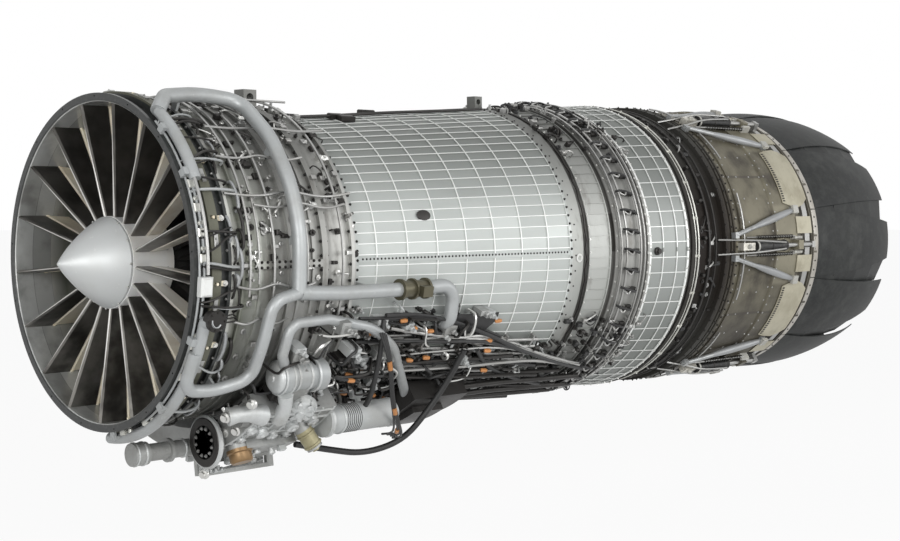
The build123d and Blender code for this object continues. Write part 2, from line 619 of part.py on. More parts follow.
def nozzle_support():
    """Skin, sheet panels, slide track for the drive ring and the petal hinge ears."""
    start, end = X_EXHAUST_END, X_SUPPORT_END
    track = 3440.0
    panel = 3262.0
    body = turned([
        (start, SUPPORT_R - 8), (track - 14, SUPPORT_R - 8), (track, SLIDE_R - 6), (end, SLIDE_R - 6),
        (end, PANEL_R), (end - 6, PANEL_R), (end - 6, PANEL_R - 6), (end - 14, PANEL_R - 6),
        (end - 14, PANEL_R), (end - 20, PANEL_R), (end - 20, SLIDE_R), (track, SLIDE_R), (track, PANEL_R),
        (panel, PANEL_R), (panel - 5, SUPPORT_R), (start + 60, SUPPORT_R - 2), (start + 60, SUPPORT_R + 3),
        (start + 54, SUPPORT_R + 3), (start + 54, SUPPORT_R - 2), (start + FLANGE, SUPPORT_R - 2),
        (start + FLANGE, FLANGE_R), (start, FLANGE_R)])
    ear = block(end - 3, X_HINGE + 12, 10, HINGE_R - 10, HINGE_R + 11)
    ears = [Pos(0, side * 40, 0) * ear for side in (-1, 1)]
    bore = Pos(X_HINGE, 0, HINGE_R) * Rot(90, 0, 0) * Cylinder(PIN_R + RUNNING, 140)
    guide = block(GUIDE_X, track - 10, 44, PANEL_R - 3, ACTUATOR_CENTRE_R + 16)
    guide = guide - axial_rod(GUIDE_X - 10, track, 0, ACTUATOR_CENTRE_R, ROD_R + RUNNING)
    pair = (ears[0] + ears[1]) - bore
    return body + round_the_shaft(pair, PETAL_COUNT) + round_the_shaft(guide, ACTUATORS, 30)


def nozzle_drive_ring():
    """Ring that slides on the support's track, with its piston rods."""
    ring = tube(SLIDE_RING_X, SLIDE_RING_X + SLIDE_RING_WIDTH, SLIDE_R + RUNNING, PANEL_R)
    lug = block(SLIDE_RING_X + 4, SLIDE_RING_X + 30, 30, PANEL_R - 3, ACTUATOR_CENTRE_R + ROD_R + 3)
    head = ACTUATOR_X + 120
    rod = axial_rod(head, SLIDE_RING_X + 8, 0, ACTUATOR_CENTRE_R, ROD_R)
    piston = axial_rod(head, head + 18, 0, ACTUATOR_CENTRE_R, CYLINDER_BORE_R - RUNNING)
    return ring + round_the_shaft(lug + [rod, piston], ACTUATORS, 30)


def nozzle_actuators():
    """Actuator cylinders with their end clevises, and the pairs of bracing struts."""
    start, end = ACTUATOR_X, ACTUATOR_X + ACTUATOR_LENGTH
    cylinder = axial_rod(start, end, 0, ACTUATOR_CENTRE_R, 25)
    cylinder = cylinder - axial_rod(start + 20, end - 20, 0, ACTUATOR_CENTRE_R, CYLINDER_BORE_R)
    cylinder = cylinder - axial_rod(end - 30, end + 5, 0, ACTUATOR_CENTRE_R, ROD_R + RUNNING)
    clevis = block(X_EXHAUST_END + FLANGE, start + 4, 34, SUPPORT_R + 3, ACTUATOR_CENTRE_R + 12)
    pieces = round_the_shaft(cylinder + clevis, ACTUATORS, 30)
    for side in (-1, 1):
        front, back = 4.5 * side, 14.5 * side
        rod = rod_between(at(X_EXHAUST_END - 20, front, FLANGE_R + 14), at(3412, back, PANEL_R + 13), 11)
        feet = [spun(block(X_EXHAUST_END - 34, X_EXHAUST_END - 6, 28, FLANGE_R, FLANGE_R + 24), front),
                spun(block(3396, 3430, 30, PANEL_R, PANEL_R + 22), back)]
        pieces += round_the_shaft(rod + feet, ACTUATORS, 30)
    return Compound(children=pieces)


# Nozzle petals

def petal_r(x):
    """Outer radius of a petal on its bulged arc."""
    x0, r0, x1, r1 = PETAL_START, HINGE_R + 7, X_EXIT, EXIT_R
    middle = slope(PETAL_BULGE_X, x0, r0, x1, r1)
    share = ((x - x0) * (x1 - x)) / ((PETAL_BULGE_X - x0) * (x1 - PETAL_BULGE_X))
    return slope(x, x0, r0, x1, r1) + (PETAL_BULGE_R - middle) * share


def closed_height(x, z):
    """Height that a petal point moves to when the nozzle closes, in the petal's own upright frame."""
    close = math.radians(PETAL_CLOSE)
    return HINGE_R + (z - HINGE_R) * math.cos(close) - (x - X_HINGE) * math.sin(close)


def half_width(x, r):
    """Half width that lets neighbouring petals close without touching."""
    width = 0.0
    for _ in range(12):
        edge = math.sqrt(r ** 2 - width ** 2)
        width = min(edge, closed_height(x, edge)) * math.tan(math.pi / PETAL_COUNT) - PETAL_EDGE_GAP
    return width


def petal_prism(xs, radius_at):
    """Upright prism with the petal's plan outline."""
    right = [(x, half_width(x, radius_at(x))) for x in xs]
    left = [(x, -w) for x, w in reversed(right)]
    return extrude(Plane.XY.offset(400) * make_face(Polyline(*right, *left, close=True)), 400)


def seal_section(x):
    """Cross-section of the seal plate that spans the gap beside a petal and slides under its neighbour."""
    inner = petal_r(x) - PETAL_SKIN
    half_pitch = math.pi / PETAL_COUNT
    edge = half_width(x, inner)
    edge_z = math.sqrt(inner ** 2 - edge ** 2)
    gap = inner * math.sin(half_pitch - math.asin(edge / inner))
    approach = 2 * (edge_z - closed_height(x, edge_z)) * math.sin(half_pitch)
    near = gap + SEAL_LAP
    near_z = math.sqrt(inner ** 2 - near ** 2)
    far_z = math.sqrt(inner ** 2 - (near + approach) ** 2) - SEAL_CLEAR
    step = gap + SEAL_SHOULDER
    step_z = far_z + (step + near) / (2 * near) * (near_z + SEAL_RISE - far_z)
    corners = [
        (near, near_z + SEAL_ROOT), (near, near_z - SEAL_SKIN), (-near, far_z - SEAL_SKIN), (-near, far_z),
        (step, step_z)]
    return spun(make_face(Polyline(*[Vector(x, y, z) for y, z in corners], close=True)), 180.0 / PETAL_COUNT)


def leaf_r(x):
    """Outer radius of the inner leaf, converging to the throat and opening again behind it."""
    if x < THROAT_X:
        return slope(x, LEAF_START, LEAF_START_R, THROAT_X, THROAT_R)
    return slope(x, THROAT_X, THROAT_R, SEAL_END, LEAF_EXIT_R)


def nozzle_petal():
    """One petal at the top: outer flap, seal plate, inner leaf, rib and hinge knuckle with its pin."""
    xs = [PETAL_START, 3800.0, 3980.0, 4200.0, X_EXIT]
    start, bulge, end = (PETAL_START, HINGE_R + 7), (PETAL_BULGE_X, PETAL_BULGE_R), (X_EXIT, EXIT_R)
    outer = ThreePointArc(start, bulge, end)
    inner = ThreePointArc(*[(x, r - PETAL_SKIN) for x, r in (end, bulge, start)])
    sides = [Line(outer @ 1, inner @ 0), Line(inner @ 1, outer @ 0)]
    sector = spun(revolve(Plane.XZ * make_face([outer, inner] + sides), Axis.X, 40), -20)
    flap = sector & petal_prism(xs, lambda x: petal_r(x) - PETAL_SKIN)
    seal = loft([seal_section(x) for x in (SEAL_START, 4000.0, 4180.0, SEAL_END)], ruled=True)
    leaf_line = [(LEAF_START, LEAF_START_R), (THROAT_X, THROAT_R), (SEAL_END, LEAF_EXIT_R)]
    leaf = spun(turned(leaf_line + [(x, r - PETAL_SKIN) for x, r in reversed(leaf_line)], 40), -20)
    leaf = leaf & petal_prism([LEAF_START, THROAT_X, SEAL_END], lambda x: leaf_r(x) - PETAL_SKIN)
    top = [(x, petal_r(x) - PETAL_SKIN / 2) for x in (4330.0, 4150.0, 3960.0, 3800.0, 3700.0)]
    foot = [(x, leaf_r(x) - PETAL_SKIN) for x in (3700.0, THROAT_X, 4330.0)]
    rib_face = make_face(Polyline(*foot, *top, close=True))
    rib = Pos(0, -55, 0) * extrude(Plane.XZ * rib_face, 3, both=True)
    lug = block(X_HINGE, 3690, 56, 603, HINGE_R + 8)
    knuckle = Pos(X_HINGE, 0, HINGE_R) * Rot(90, 0, 0) * Cylinder(KNUCKLE_R, 60)
    pin = Pos(X_HINGE, 0, HINGE_R) * Rot(90, 0, 0) * Cylinder(PIN_R, 100)
    return flap + [seal, leaf, rib, lug, knuckle, pin]


# Accessories and pipes

def sector_block(x0, x1, r0, r1, first, last):
    """Curved block between two angles."""
    return spun(turned([(x0, r0), (x1, r0), (x1, r1), (x0, r1)], last - first), first)


def saddle(x0, x1, width, seat_r, top_r, angle):
    """Bracket whose foot follows the round seat under it."""
    return spun(block(x0, x1, width, seat_r - 10, top_r) - axial_rod(x0 - 1, x1 + 1, 0, 0, seat_r), angle)


def drive_pad():
    """Bolted round pad on the gearbox's front, with its bolt holes and a pilot recess."""
    r = PAD_CENTRE_R
    pad = axial_rod(PAD_X, PAD_X + 16, 0, r, PAD_BOLT_CIRCLE_R + 14)
    pad = pad + axial_rod(PAD_X + 14, GEARBOX_START + 2, 0, r, 60)
    pad = pad - axial_rod(PAD_X - 1, PAD_X + 8, 0, r, 42)
    for i in range(PAD_BOLTS):
        turn = math.radians(i * 360.0 / PAD_BOLTS)
        y, z = PAD_BOLT_CIRCLE_R * math.sin(turn), PAD_BOLT_CIRCLE_R * math.cos(turn)
        pad = pad - axial_rod(PAD_X - 1, PAD_X + 17, y, r + z, PAD_BOLT_R)
    return spun(pad, PAD_ANGLE)


def accessory_gearbox():
    """Curved gearbox casting under the fan case, with pads, pumps, cradle arm, stand frame and hangers."""
    start, end = GEARBOX_START, GEARBOX_END
    body = sector_block(start, end, GEARBOX_IN_R, GEARBOX_OUT_R, 138, 206)
    sump = sector_block(start + 60, end - 70, GEARBOX_OUT_R - 5, GEARBOX_OUT_R + 34, 154, 190)
    arm = sector_block(462, 538, GEARBOX_IN_R - 8, GEARBOX_OUT_R - 20, PUMP_ANGLE, 140)
    arm = arm - spun(axial_rod(450, 550, 0, PUMP_CENTRE_R, PUMP_R), PUMP_ANGLE)
    starter = spun(axial_rod(90, 150, 0, 690, 42) + axial_rod(150, start + 4, 0, 690, 32)
                   + axial_rod(236, 250, 0, 690, 44), 174)
    filter_cap = spun(radial_rod(410, 700, 778, 38) + radial_rod(410, 700, 735, 46), 158)
    oil_can = rod_between(at(600, 148, 690), at(660, 150, 798), 31)
    side_pad = spun(axial_rod(start - 34, start + 4, 0, 668, 40), 144)
    pump = spun(axial_rod(end - 4, end + 16, 0, 678, 56) + axial_rod(end + 14, end + 176, 0, 678, 44), 176)
    frame = block(start + 10, end - 40, 80, GEARBOX_OUT_R + 28, 800)
    frame = frame - block(start + 40, end - 70, 100, GEARBOX_OUT_R + 44, 784)
    frame = spun(frame - block(start - 10, end, 44, GEARBOX_OUT_R + 40, 810), 172)
    places = [(x, a) for a in (146, 198) for x in (396, X_FAN_END - 10)]
    hangers = [saddle(x, x + 20, 40, LAND_R, GEARBOX_IN_R + 8, a) for x, a in places]
    return body + [sump, arm, drive_pad(), starter, filter_cap, oil_can, side_pad, pump, frame] + hangers


def fuel_pump():
    """Fuel pump canister in the gearbox's cradle, with its delivery pipe along the duct."""
    r = PUMP_CENTRE_R
    can = axial_rod(448, 552, 0, r, PUMP_R)
    for x0, x1, step in ((402, 450, 8), (550, 598, 8), (392, 404, -8), (596, 608, -8)):
        can = can + axial_rod(x0, x1, 0, r, PUMP_R + step)
    route = [at(426, 126, 655), at(378, 119, 655), at(388, 108.5, 645), at(560, 108.5, 632),
             at(800, 113.5, 622), at(930, 122, 625), at(CONTROL_START + 20, 149, 640)]
    delivery = pipe(route, THIN_PIPE_R, [30, 48, 60, 300, 200])
    delivery = delivery - axial_rod(CONTROL_START, CONTROL_START + 60, 0, 0, 700)
    return spun(can, PUMP_ANGLE) + delivery


def generator():
    """Generator drum behind the gearbox."""
    x, r = GEARBOX_END, GEARBOX_OUT_R
    drum = axial_rod(x, x + 16, 0, r, GENERATOR_R + 8) + axial_rod(x + 14, x + 330, 0, r, GENERATOR_R)
    return spun(drum + axial_rod(x + 328, x + 348, 0, r, GENERATOR_R - 12), GENERATOR_ANGLE)


def afterburner_control():
    """Afterburner fuel control under the duct, with three supply pipes to the fitting band."""
    start, end = CONTROL_START, CONTROL_START + 290
    body = sector_block(start, end, 610, 692, 144, 172)
    lid = sector_block(start + 40, end - 90, 690, 716, 150, 168)
    solenoid = spun(axial_rod(start - 60, start + 4, 0, 668, 26), 162)
    seats = [ring_station(i) for i in (3, 4)]
    feet = [sector_block(x - 6, x + 6, rib_top(x + 2), 615, 146, 170) for x in seats]
    run = ((end - 5, 640), (X_DUCT_END - 160, 640), (FITTING_BAND + 60, 656))
    supply = [pipe([at(x, a, r) for x, r in run], 12, 300) for a in (148, 156, 164)]
    clamp_x = FITTING_BAND + 22
    clamp = sector_block(clamp_x, clamp_x + 8, middle_r(clamp_x + 8) + 4, 656, 146, 166)
    return body + [lid, solenoid, clamp] + feet + supply


def hoop_path(x, first, last, count):
    """Bend points of a pipe that runs round the case."""
    step = (last - first) / count
    return [at(x, first + i * step, HOOP_R / math.cos(math.radians(step / 2))) for i in range(1, count)]


def air_pipes():
    """Air pipes over the fan case, the two manifold arcs behind the lip and the elbow into the duct."""
    hoop_x = 412.0
    joint = at(hoop_x, 99, 632)
    rise = [
        at(MANIFOLD_X - 4, 33, MANIFOLD_CENTRE_R + 2), at(84, 28, 656), at(250, 24, 652),
        at(hoop_x, 27, 646)]
    hoop = pipe(rise + hoop_path(hoop_x, 30, 96, 4) + [joint], MAIN_PIPE_R, [34, 300, 75, 320, 500, 500])
    level = pipe([joint, at(600, 100, 626), at(VALVE_X + 10, VALVE_ANGLE, VALVE_CENTRE_R)], MAIN_PIPE_R, 300)
    loop = [joint, at(300, 101, 640), at(285, 115, 644), at(288, 128, 646), at(150, 131.5, 644),
            at(26, 130, 646), at(30, 117, MANIFOLD_CENTRE_R)]
    branch = pipe(loop, BRANCH_PIPE_R, [60, 250, 70, 200, 55])
    valve_end = VALVE_X + VALVE_LENGTH
    valve_room = axial_rod(VALVE_X, valve_end, 0, 0, 700)
    elbow_x = 1183.0
    bend = [at(valve_end - 10, VALVE_ANGLE, VALVE_CENTRE_R), at(elbow_x, 99.5, 606),
            at(elbow_x + 2, 114, 622), at(elbow_x + 2, 118, 540)]
    elbow = pipe(bend, MAIN_PIPE_R, [70, 45])
    cone = turned([(800, 0), (1400, 0), (1400, duct_r(1400) + RIB_HEIGHT), (800, duct_r(800) + RIB_HEIGHT)])
    arc = make_face(Plane.XZ * Pos(MANIFOLD_X, MANIFOLD_CENTRE_R) * Circle(MANIFOLD_R).edge())
    arcs = [spun(revolve(arc, Axis.X, last - first), first) for first, last in ((107, 178), (33, 62))]
    clips = [sector_block(2, FLANGE, LIP_R, 630, a, a + 2.5) + sector_block(2, 30, 616, 630, a, a + 2.5)
             for a in (40, 58, 112, 140, 170)]
    port = rod_between(at(MANIFOLD_X, 107, 622), at(MANIFOLD_X + 10, 105, 676), 22)
    port = port - rod_between(at(MANIFOLD_X, 106, 650), at(MANIFOLD_X + 12, 104.9, 690), 16)
    front_r = LIP_R - 2
    saddles = [saddle(151, 161, 30, front_r, 640, a) for a in (25.8, 131.3)]
    saddles += [saddle(402, 410, 30, LAND_R, 630, a) for a in (50, 82)]
    saddles += [saddle(552, 568, 34, LAND_R, 622, 99.8), saddle(748, 756, 34, DUCT_FRONT_R, 612, 100.2)]
    front = hoop + [level - valve_room, branch, port] + arcs + clips + saddles
    return Compound(children=[front, elbow - cone - valve_room])


def service_tubes():
    """Bundle of thin tubes along the lower port side of the duct, held in clamp blocks on the ring ribs."""
    first, pitch, count, shift = 121.0, 3.4, 6, 4.0
    tubes = []
    for i in range(count):
        angle = first + pitch * i
        stations = ((815, 0), (1330, 0), (1500, shift), (1745, shift))
        route = [at(x, angle + turn, rib_top(x) + 9 + TUBE_R) for x, turn in stations]
        tubes.append(pipe(route, TUBE_R, 120))
    for i, turn in ((0, 0), (2, 0), (5, shift), (6, shift)):
        x = ring_station(i)
        seat = rib_top(x + 2)
        last = first + pitch * (count - 1)
        tubes.append(sector_block(x - 5, x + 5, seat, seat + 22, first - 2 + turn, last + 2 + turn))
    return tubes[0] + tubes[1:]


def bleed_valve():
    """Valve in the air pipe along the port side, with end flanges and its actuator housing."""
    x, end, r = VALVE_X, VALVE_X + VALVE_LENGTH, VALVE_CENTRE_R
    body = axial_rod(x, end, 0, r, MAIN_PIPE_R + 6)
    for flange_x in (x, x + 60, end - 10):
        body = body + axial_rod(flange_x, flange_x + 10, 0, r, MAIN_PIPE_R + 14)
    actuator = block(x + 72, end - 14, 40, r + 20, r + 58)
    return spun(body + actuator, VALVE_ANGLE)


def main():
    os.makedirs("parts", exist_ok=True)
    nodes = {
        "inlet_ring": inlet_ring, "inlet_struts": inlet_struts, "inlet_hub": inlet_hub,
        "bullet_nose": bullet_nose, "flap_drive_ring": flap_drive_ring, "fan_case": fan_case,
        "fan_rotor": fan_rotor, "fan_frame": fan_frame, "core_rotor": core_rotor, "core_case": core_case,
        "combustor_liner": combustor_liner, "low_turbine": low_turbine, "turbine_frame": turbine_frame,
        "main_bearings": main_bearings, "duct_middle_section": duct_middle_section,
        "duct_rear_section": duct_rear_section, "flame_holder": flame_holder,
        "afterburner_liner": afterburner_liner, "exhaust_case": exhaust_case,
        "nozzle_support": nozzle_support, "nozzle_drive_ring": nozzle_drive_ring,
        "nozzle_actuators": nozzle_actuators, "accessory_gearbox": accessory_gearbox,
        "fuel_pump": fuel_pump, "generator": generator, "air_pipes": air_pipes,
        "service_tubes": service_tubes, "bleed_valve": bleed_valve,
        "afterburner_control": afterburner_control,}
    for name, make in nodes.items():
        save(name, make())
    half = bypass_duct_half()
    save("bypass_duct_upper", half)
    save("bypass_duct_lower", spun(half, 180))
    flap = inlet_flap()
    for i in range(STRUT_COUNT):
        save(f"inlet_flap_{i + 1:02d}", spun(flap, STRUT_FIRST + i * 360.0 / STRUT_COUNT))
    petal = nozzle_petal()
    for i in range(PETAL_COUNT):
        save(f"nozzle_petal_{i + 1:02d}", spun(petal, i * 360.0 / PETAL_COUNT))


main()
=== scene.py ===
import logging
import math
from dataclasses import dataclass, field
from enum import Enum
from typing import Any, Callable, Iterable, Optional, Sequence, Union

import bpy
import numpy as np
from mathutils import Matrix, Vector


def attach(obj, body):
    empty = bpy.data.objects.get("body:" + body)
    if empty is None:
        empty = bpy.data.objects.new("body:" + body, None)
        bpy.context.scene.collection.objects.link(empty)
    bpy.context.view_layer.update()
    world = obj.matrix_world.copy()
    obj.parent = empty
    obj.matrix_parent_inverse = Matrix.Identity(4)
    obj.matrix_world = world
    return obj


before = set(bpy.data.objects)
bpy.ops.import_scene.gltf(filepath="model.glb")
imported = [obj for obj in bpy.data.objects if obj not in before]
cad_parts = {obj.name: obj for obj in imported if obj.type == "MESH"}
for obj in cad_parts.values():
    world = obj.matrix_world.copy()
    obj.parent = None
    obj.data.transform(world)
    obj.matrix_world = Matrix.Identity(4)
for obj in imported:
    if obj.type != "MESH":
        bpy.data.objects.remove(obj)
log = logging.getLogger("jet_engine")

Array = np.ndarray
Number = Union[int, float]
SHARP_ANGLE = math.radians(38.0)


# Camera

@dataclass(frozen=True)
class PhotoCamera:
    """The photograph's camera, fitted to the engine's round flanges."""

    place: tuple[float, float, float] = (-2.95931, -4.89500, 0.24048)
    azimuth: float = -47.0547
    elevation: float = 1.917
    focal_px: float = 1557.695
    centre_px: tuple[float, float] = (539.013, 246.894)
    frame_px: tuple[float, float] = (900.0, 541.0)

    def build(self) -> bpy.types.Object:
        """Make the camera and set it as the scene's own.

        Returns:
            The camera object.
        """
        data = bpy.data.cameras.new("photo_camera")
        data.sensor_width = 36.0
        data.lens = self.focal_px / self.frame_px[0] * data.sensor_width
        data.shift_x = (self.frame_px[0] / 2 - self.centre_px[0]) / self.frame_px[0]
        data.shift_y = (self.centre_px[1] - self.frame_px[1] / 2) / self.frame_px[0]
        data.clip_end = 200.0
        az, el = math.radians(self.azimuth), math.radians(self.elevation)
        back = Vector((math.sin(az) * math.cos(el), -math.cos(az) * math.cos(el), math.sin(el)))
        right = Vector((math.cos(az), math.sin(az), 0.0))
        up = back.cross(right)
        camera = bpy.data.objects.new("photo_camera", data)
        turn = Matrix((right, up, back)).transposed().to_4x4()
        camera.matrix_world = Matrix.Translation(self.place) @ turn
        bpy.context.scene.collection.objects.link(camera)
        bpy.context.scene.camera = camera
        return camera


# Shader nodes

class Socket:
    """A shader socket that adds Math nodes when it is used in an expression."""

    def __init__(self, shader: "Nodes", socket: Any) -> None:
        """Keep the socket and the node tree that it belongs to."""
        self.shader = shader
        self.socket = socket

    def math(self, operation: str, *values: Any) -> "Socket":
        """Math node of one operation on the given values."""
        return self.shader.node("ShaderNodeMath", {"operation": operation}, dict(enumerate(values)))

    def __add__(self, other: Any) -> "Socket":
        """Sum."""
        return self.math("ADD", self, other)

    __radd__ = __add__

    def __sub__(self, other: Any) -> "Socket":
        """Difference."""
        return self.math("SUBTRACT", self, other)

    def __rsub__(self, other: Any) -> "Socket":
        """Difference with the socket on the right."""
        return self.math("SUBTRACT", other, self)

    def __mul__(self, other: Any) -> "Socket":
        """Product."""
        return self.math("MULTIPLY", self, other)

    __rmul__ = __mul__

    def __truediv__(self, other: Any) -> "Socket":
        """Quotient."""
        return self.math("DIVIDE", self, other)

    def floor(self) -> "Socket":
        """Whole part, rounded down."""
        return self.math("FLOOR", self)

    def fract(self) -> "Socket":
        """Part after the decimal point."""
        return self.math("FRACT", self)

    def absolute(self) -> "Socket":
        """Size without its sign."""
        return self.math("ABSOLUTE", self)

    def most(self, other: Any) -> "Socket":
        """Larger of two values."""
        return self.math("MAXIMUM", self, other)

    def ramp(self, low: Number, high: Number) -> "Socket":
        """Smooth rise from 0 at low to 1 at high, or a fall where high is under low."""
        settings = {"interpolation_type": "SMOOTHSTEP", "clamp": True}
        return self.shader.node(
            "ShaderNodeMapRange", settings, {"Value": self, "From Min": low, "From Max": high})


class Nodes:
    """A node tree that is filled through one method."""

    def __init__(self, tree: bpy.types.NodeTree) -> None:
        """Start with an empty tree."""
        self.tree = tree
        tree.nodes.clear()

    def add(self, kind: str, settings: dict[str, Any], inputs: dict[Any, Any]) -> bpy.types.Node:
        """Add one node.

        Args:
            kind: type name of the node.
            settings: its properties, or for a ramp the key stops with (place, colour) pairs.
            inputs: socket names or numbers with their values or links.

        Returns:
            The node.
        """
        made = self.tree.nodes.new(kind)
        for key, value in settings.items():
            if key == "stops":
                self._stops(made.color_ramp, value)
            else:
                setattr(made, key, value)
        for key, value in inputs.items():
            self._feed(made.inputs[key], value)
        return made

    def node(self, kind: str, settings: dict[str, Any], inputs: dict[Any, Any], output: Any = 0) -> Socket:
        """Add one node and wrap the output that has the given name or number."""
        return Socket(self, self.add(kind, settings, inputs).outputs[output])

    def ray(self, kind: str) -> Socket:
        """1 for light rays of one kind, else 0."""
        return self.node("ShaderNodeLightPath", {}, {}, f"Is {kind} Ray")

    def _feed(self, target: Any, value: Any) -> None:
        """Link a wrapped socket or set a plain value."""
        if isinstance(value, Socket):
            self.tree.links.new(value.socket, target)
        elif target.type == "RGBA" and len(value) == 3:
            target.default_value = (*value, 1.0)
        else:
            target.default_value = value

    @staticmethod
    def _stops(ramp: Any, stops: Sequence[tuple[float, Sequence[float]]]) -> None:
        """Set a colour ramp's stops."""
        while len(ramp.elements) < len(stops):
            ramp.elements.new(0.5)
        for element, (place, colour) in zip(ramp.elements, stops):
            element.position = place
            element.color = (*colour, 1.0)


class Shader(Nodes):
    """One material's node tree, built from a Principled shader outwards."""

    def __init__(self, name: str) -> None:
        """Start an empty material with its Principled shader and its output."""
        self.material = bpy.data.materials.new(name)
        self.material.use_nodes = True
        super().__init__(self.material.node_tree)
        self.skin = self.node("ShaderNodeBsdfPrincipled", {}, {})
        self.output = self.add("ShaderNodeOutputMaterial", {}, {"Surface": self.skin})
        self._place: Optional[Socket] = None

    def place(self) -> Socket:
        """Object coordinates, which are the engine's own at rest."""
        if self._place is None:
            self._place = self.node("ShaderNodeTexCoord", {}, {}, "Object")
        return self._place

    def axes(self) -> tuple[Socket, Socket, Socket]:
        """The three object coordinates, each by itself."""
        split = self.node("ShaderNodeSeparateXYZ", {}, {0: self.place()})
        others = [Socket(self, split.socket.node.outputs[i]) for i in (1, 2)]
        return split, others[0], others[1]

    def angle(self) -> Socket:
        """Turns round the shaft from the top towards port, from -0.5 to 0.5."""
        _, y, z = self.axes()
        return y.math("ARCTAN2", y * -1, z) / (2 * math.pi)

    def radius(self) -> Socket:
        """Distance from the shaft."""
        _, y, z = self.axes()
        squared = y * y + z * z
        return squared.math("SQRT", squared)

    def noise(
            self, scale: Number, detail: Number = 4.0, rough: Number = 0.55,
            stretch: Sequence[float] = (1, 1, 1)) -> Socket:
        """Noise from 0 to 1 on object coordinates, with cells stretched along the axes."""
        where = self.node("ShaderNodeMapping", {}, {"Vector": self.place(), "Scale": tuple(stretch)})
        inputs = {"Vector": where, "Scale": scale, "Detail": detail, "Roughness": rough}
        return self.node("ShaderNodeTexNoise", {}, inputs, 0)

    def cells(self, *indices: Socket) -> Socket:
        """Random value from 0 to 1 that is the same wherever the whole numbers given are the same."""
        joined = self.node("ShaderNodeCombineXYZ", {}, dict(enumerate(indices)))
        return self.node("ShaderNodeTexWhiteNoise", {"noise_dimensions": "3D"}, {"Vector": joined}, 0)

    def blend(self, factor: Any, first: Any, second: Any) -> Socket:
        """Colour between two colours."""
        return self.node("ShaderNodeMix", {"data_type": "RGBA"}, {0: factor, 6: first, 7: second}, 2)

    def bump(self, height: Socket, distance: Number) -> None:
        """Raise the surface by a height field, in metres."""
        inputs = {"Height": height, "Distance": distance, "Strength": 1.0}
        self.set(Normal=self.node("ShaderNodeBump", {}, inputs))

    def set(self, **sockets: Any) -> None:
        """Set or link the Principled shader's sockets, with _ for a space."""
        for name, value in sockets.items():
            self._feed(self.skin.socket.node.inputs[name.replace("_", " ")], value)

    def surface(self, closure: Socket) -> None:
        """Show another closure at the material's output."""
        self._feed(self.output.inputs["Surface"], closure)


# Finishes

class Wear(Enum):
    """How a surface ages."""

    CLEAN = "clean"
    HANDLED = "handled"
    OILY = "oily"
    SCORCHED = "scorched"


@dataclass(frozen=True)
class Finish:
    """A plain finish: one main colour that noise, grime and wear break up."""

    name: str
    colour: tuple[float, float, float]
    metallic: float = 0.0
    roughness: float = 0.5
    wear: Wear = Wear.HANDLED
    grain: float = 60.0
    bump: float = 0.0004

    def build(self) -> bpy.types.Material:
        """Make the material.

        Returns:
            The finished material.
        """
        shader = Shader(self.name)
        broad = shader.noise(7.0, 5.0)
        fine = shader.noise(self.grain, 3.0)
        amount, tint = {
            Wear.CLEAN: (0.25, 0.8), Wear.HANDLED: (0.5, 0.62), Wear.OILY: (0.75, 0.4),
            Wear.SCORCHED: (0.8, 0.5)}[self.wear]
        dirt = tuple(c * t for c, t in zip((tint * c for c in self.colour), (1.0, 0.93, 0.84)))
        grime = (broad.ramp(0.42, 0.72) * 0.6 + fine.ramp(0.5, 0.8) * 0.4) * amount
        colour = shader.blend(grime, self.colour, dirt)
        bright = tuple(min(1.0, c * 1.25 + 0.03) for c in self.colour)
        colour = shader.blend(fine.ramp(0.62, 0.7) * 0.35, colour, bright)
        shader.set(
            Base_Color=colour, Metallic=self.metallic,
            Roughness=(broad - 0.5) * 0.3 + fine * 0.12 + self.roughness)
        shader.bump(fine + broad * 0.5, self.bump)
        return shader.material


@dataclass(frozen=True)
class DuctFinish:
    """Pale milled duct skin: white rib tops over pockets that each have their own grey-green tone, and painted
    shade that darkens the skin towards the top and the bottom.
    """

    name: str
    start: float
    pitch: float
    ribs: int
    turn: float
    skin_start: float
    skin_radius: float
    skin_slope: float

    def build(self) -> bpy.types.Material:
        """Make the material.

        Returns:
            The finished material.
        """
        shader = Shader(self.name)
        x, _, z = shader.axes()
        round_cells = (shader.angle() - self.turn / 360.0) * self.ribs
        long_cells = (x - self.start) / self.pitch
        tone = shader.cells(round_cells.floor(), long_cells.floor())
        height = shader.radius() - (x - self.skin_start) * self.skin_slope - self.skin_radius
        flange = z.absolute().ramp(0.0098, 0.0088).most(x.ramp(0.760, 0.757)).most(
            x.ramp(1.8335, 1.836) * x.ramp(1.9, 1.88))
        raised = height.ramp(0.0006, 0.0032) * (1 - flange)
        streak = shader.noise(9.0, 5.0, 0.6, (0.25, 1.0, 1.0))
        fine = shader.noise(90.0, 3.0)
        pocket = shader.blend(tone * 0.7, (0.52, 0.545, 0.525), (0.40, 0.42, 0.405))
        pocket = shader.blend(x.ramp(2.31, 2.33) * 0.6, pocket, (0.20, 0.21, 0.20))
        pocket = shader.blend(streak.ramp(0.5, 0.75) * 0.3, pocket, (0.36, 0.38, 0.36))
        # Painted shade: the pockets, and the rib tops a little, darken towards the top and the bottom of the
        # duct.
        painted_shade = z.ramp(0.12, 0.50).most(z.ramp(-0.12, -0.46) * 0.85) * 0.86
        pocket = shader.blend(painted_shade, pocket, (0.085, 0.095, 0.085))
        colour = shader.blend(raised, pocket, (0.88, 0.89, 0.87))
        colour = shader.blend(painted_shade * 0.28, colour, (0.30, 0.31, 0.29))
        shader.set(Base_Color=colour, Metallic=0.3, Roughness=fine * 0.14 + tone * 0.08 + 0.34)
        shader.bump(fine + streak, 0.0003)
        return shader.material


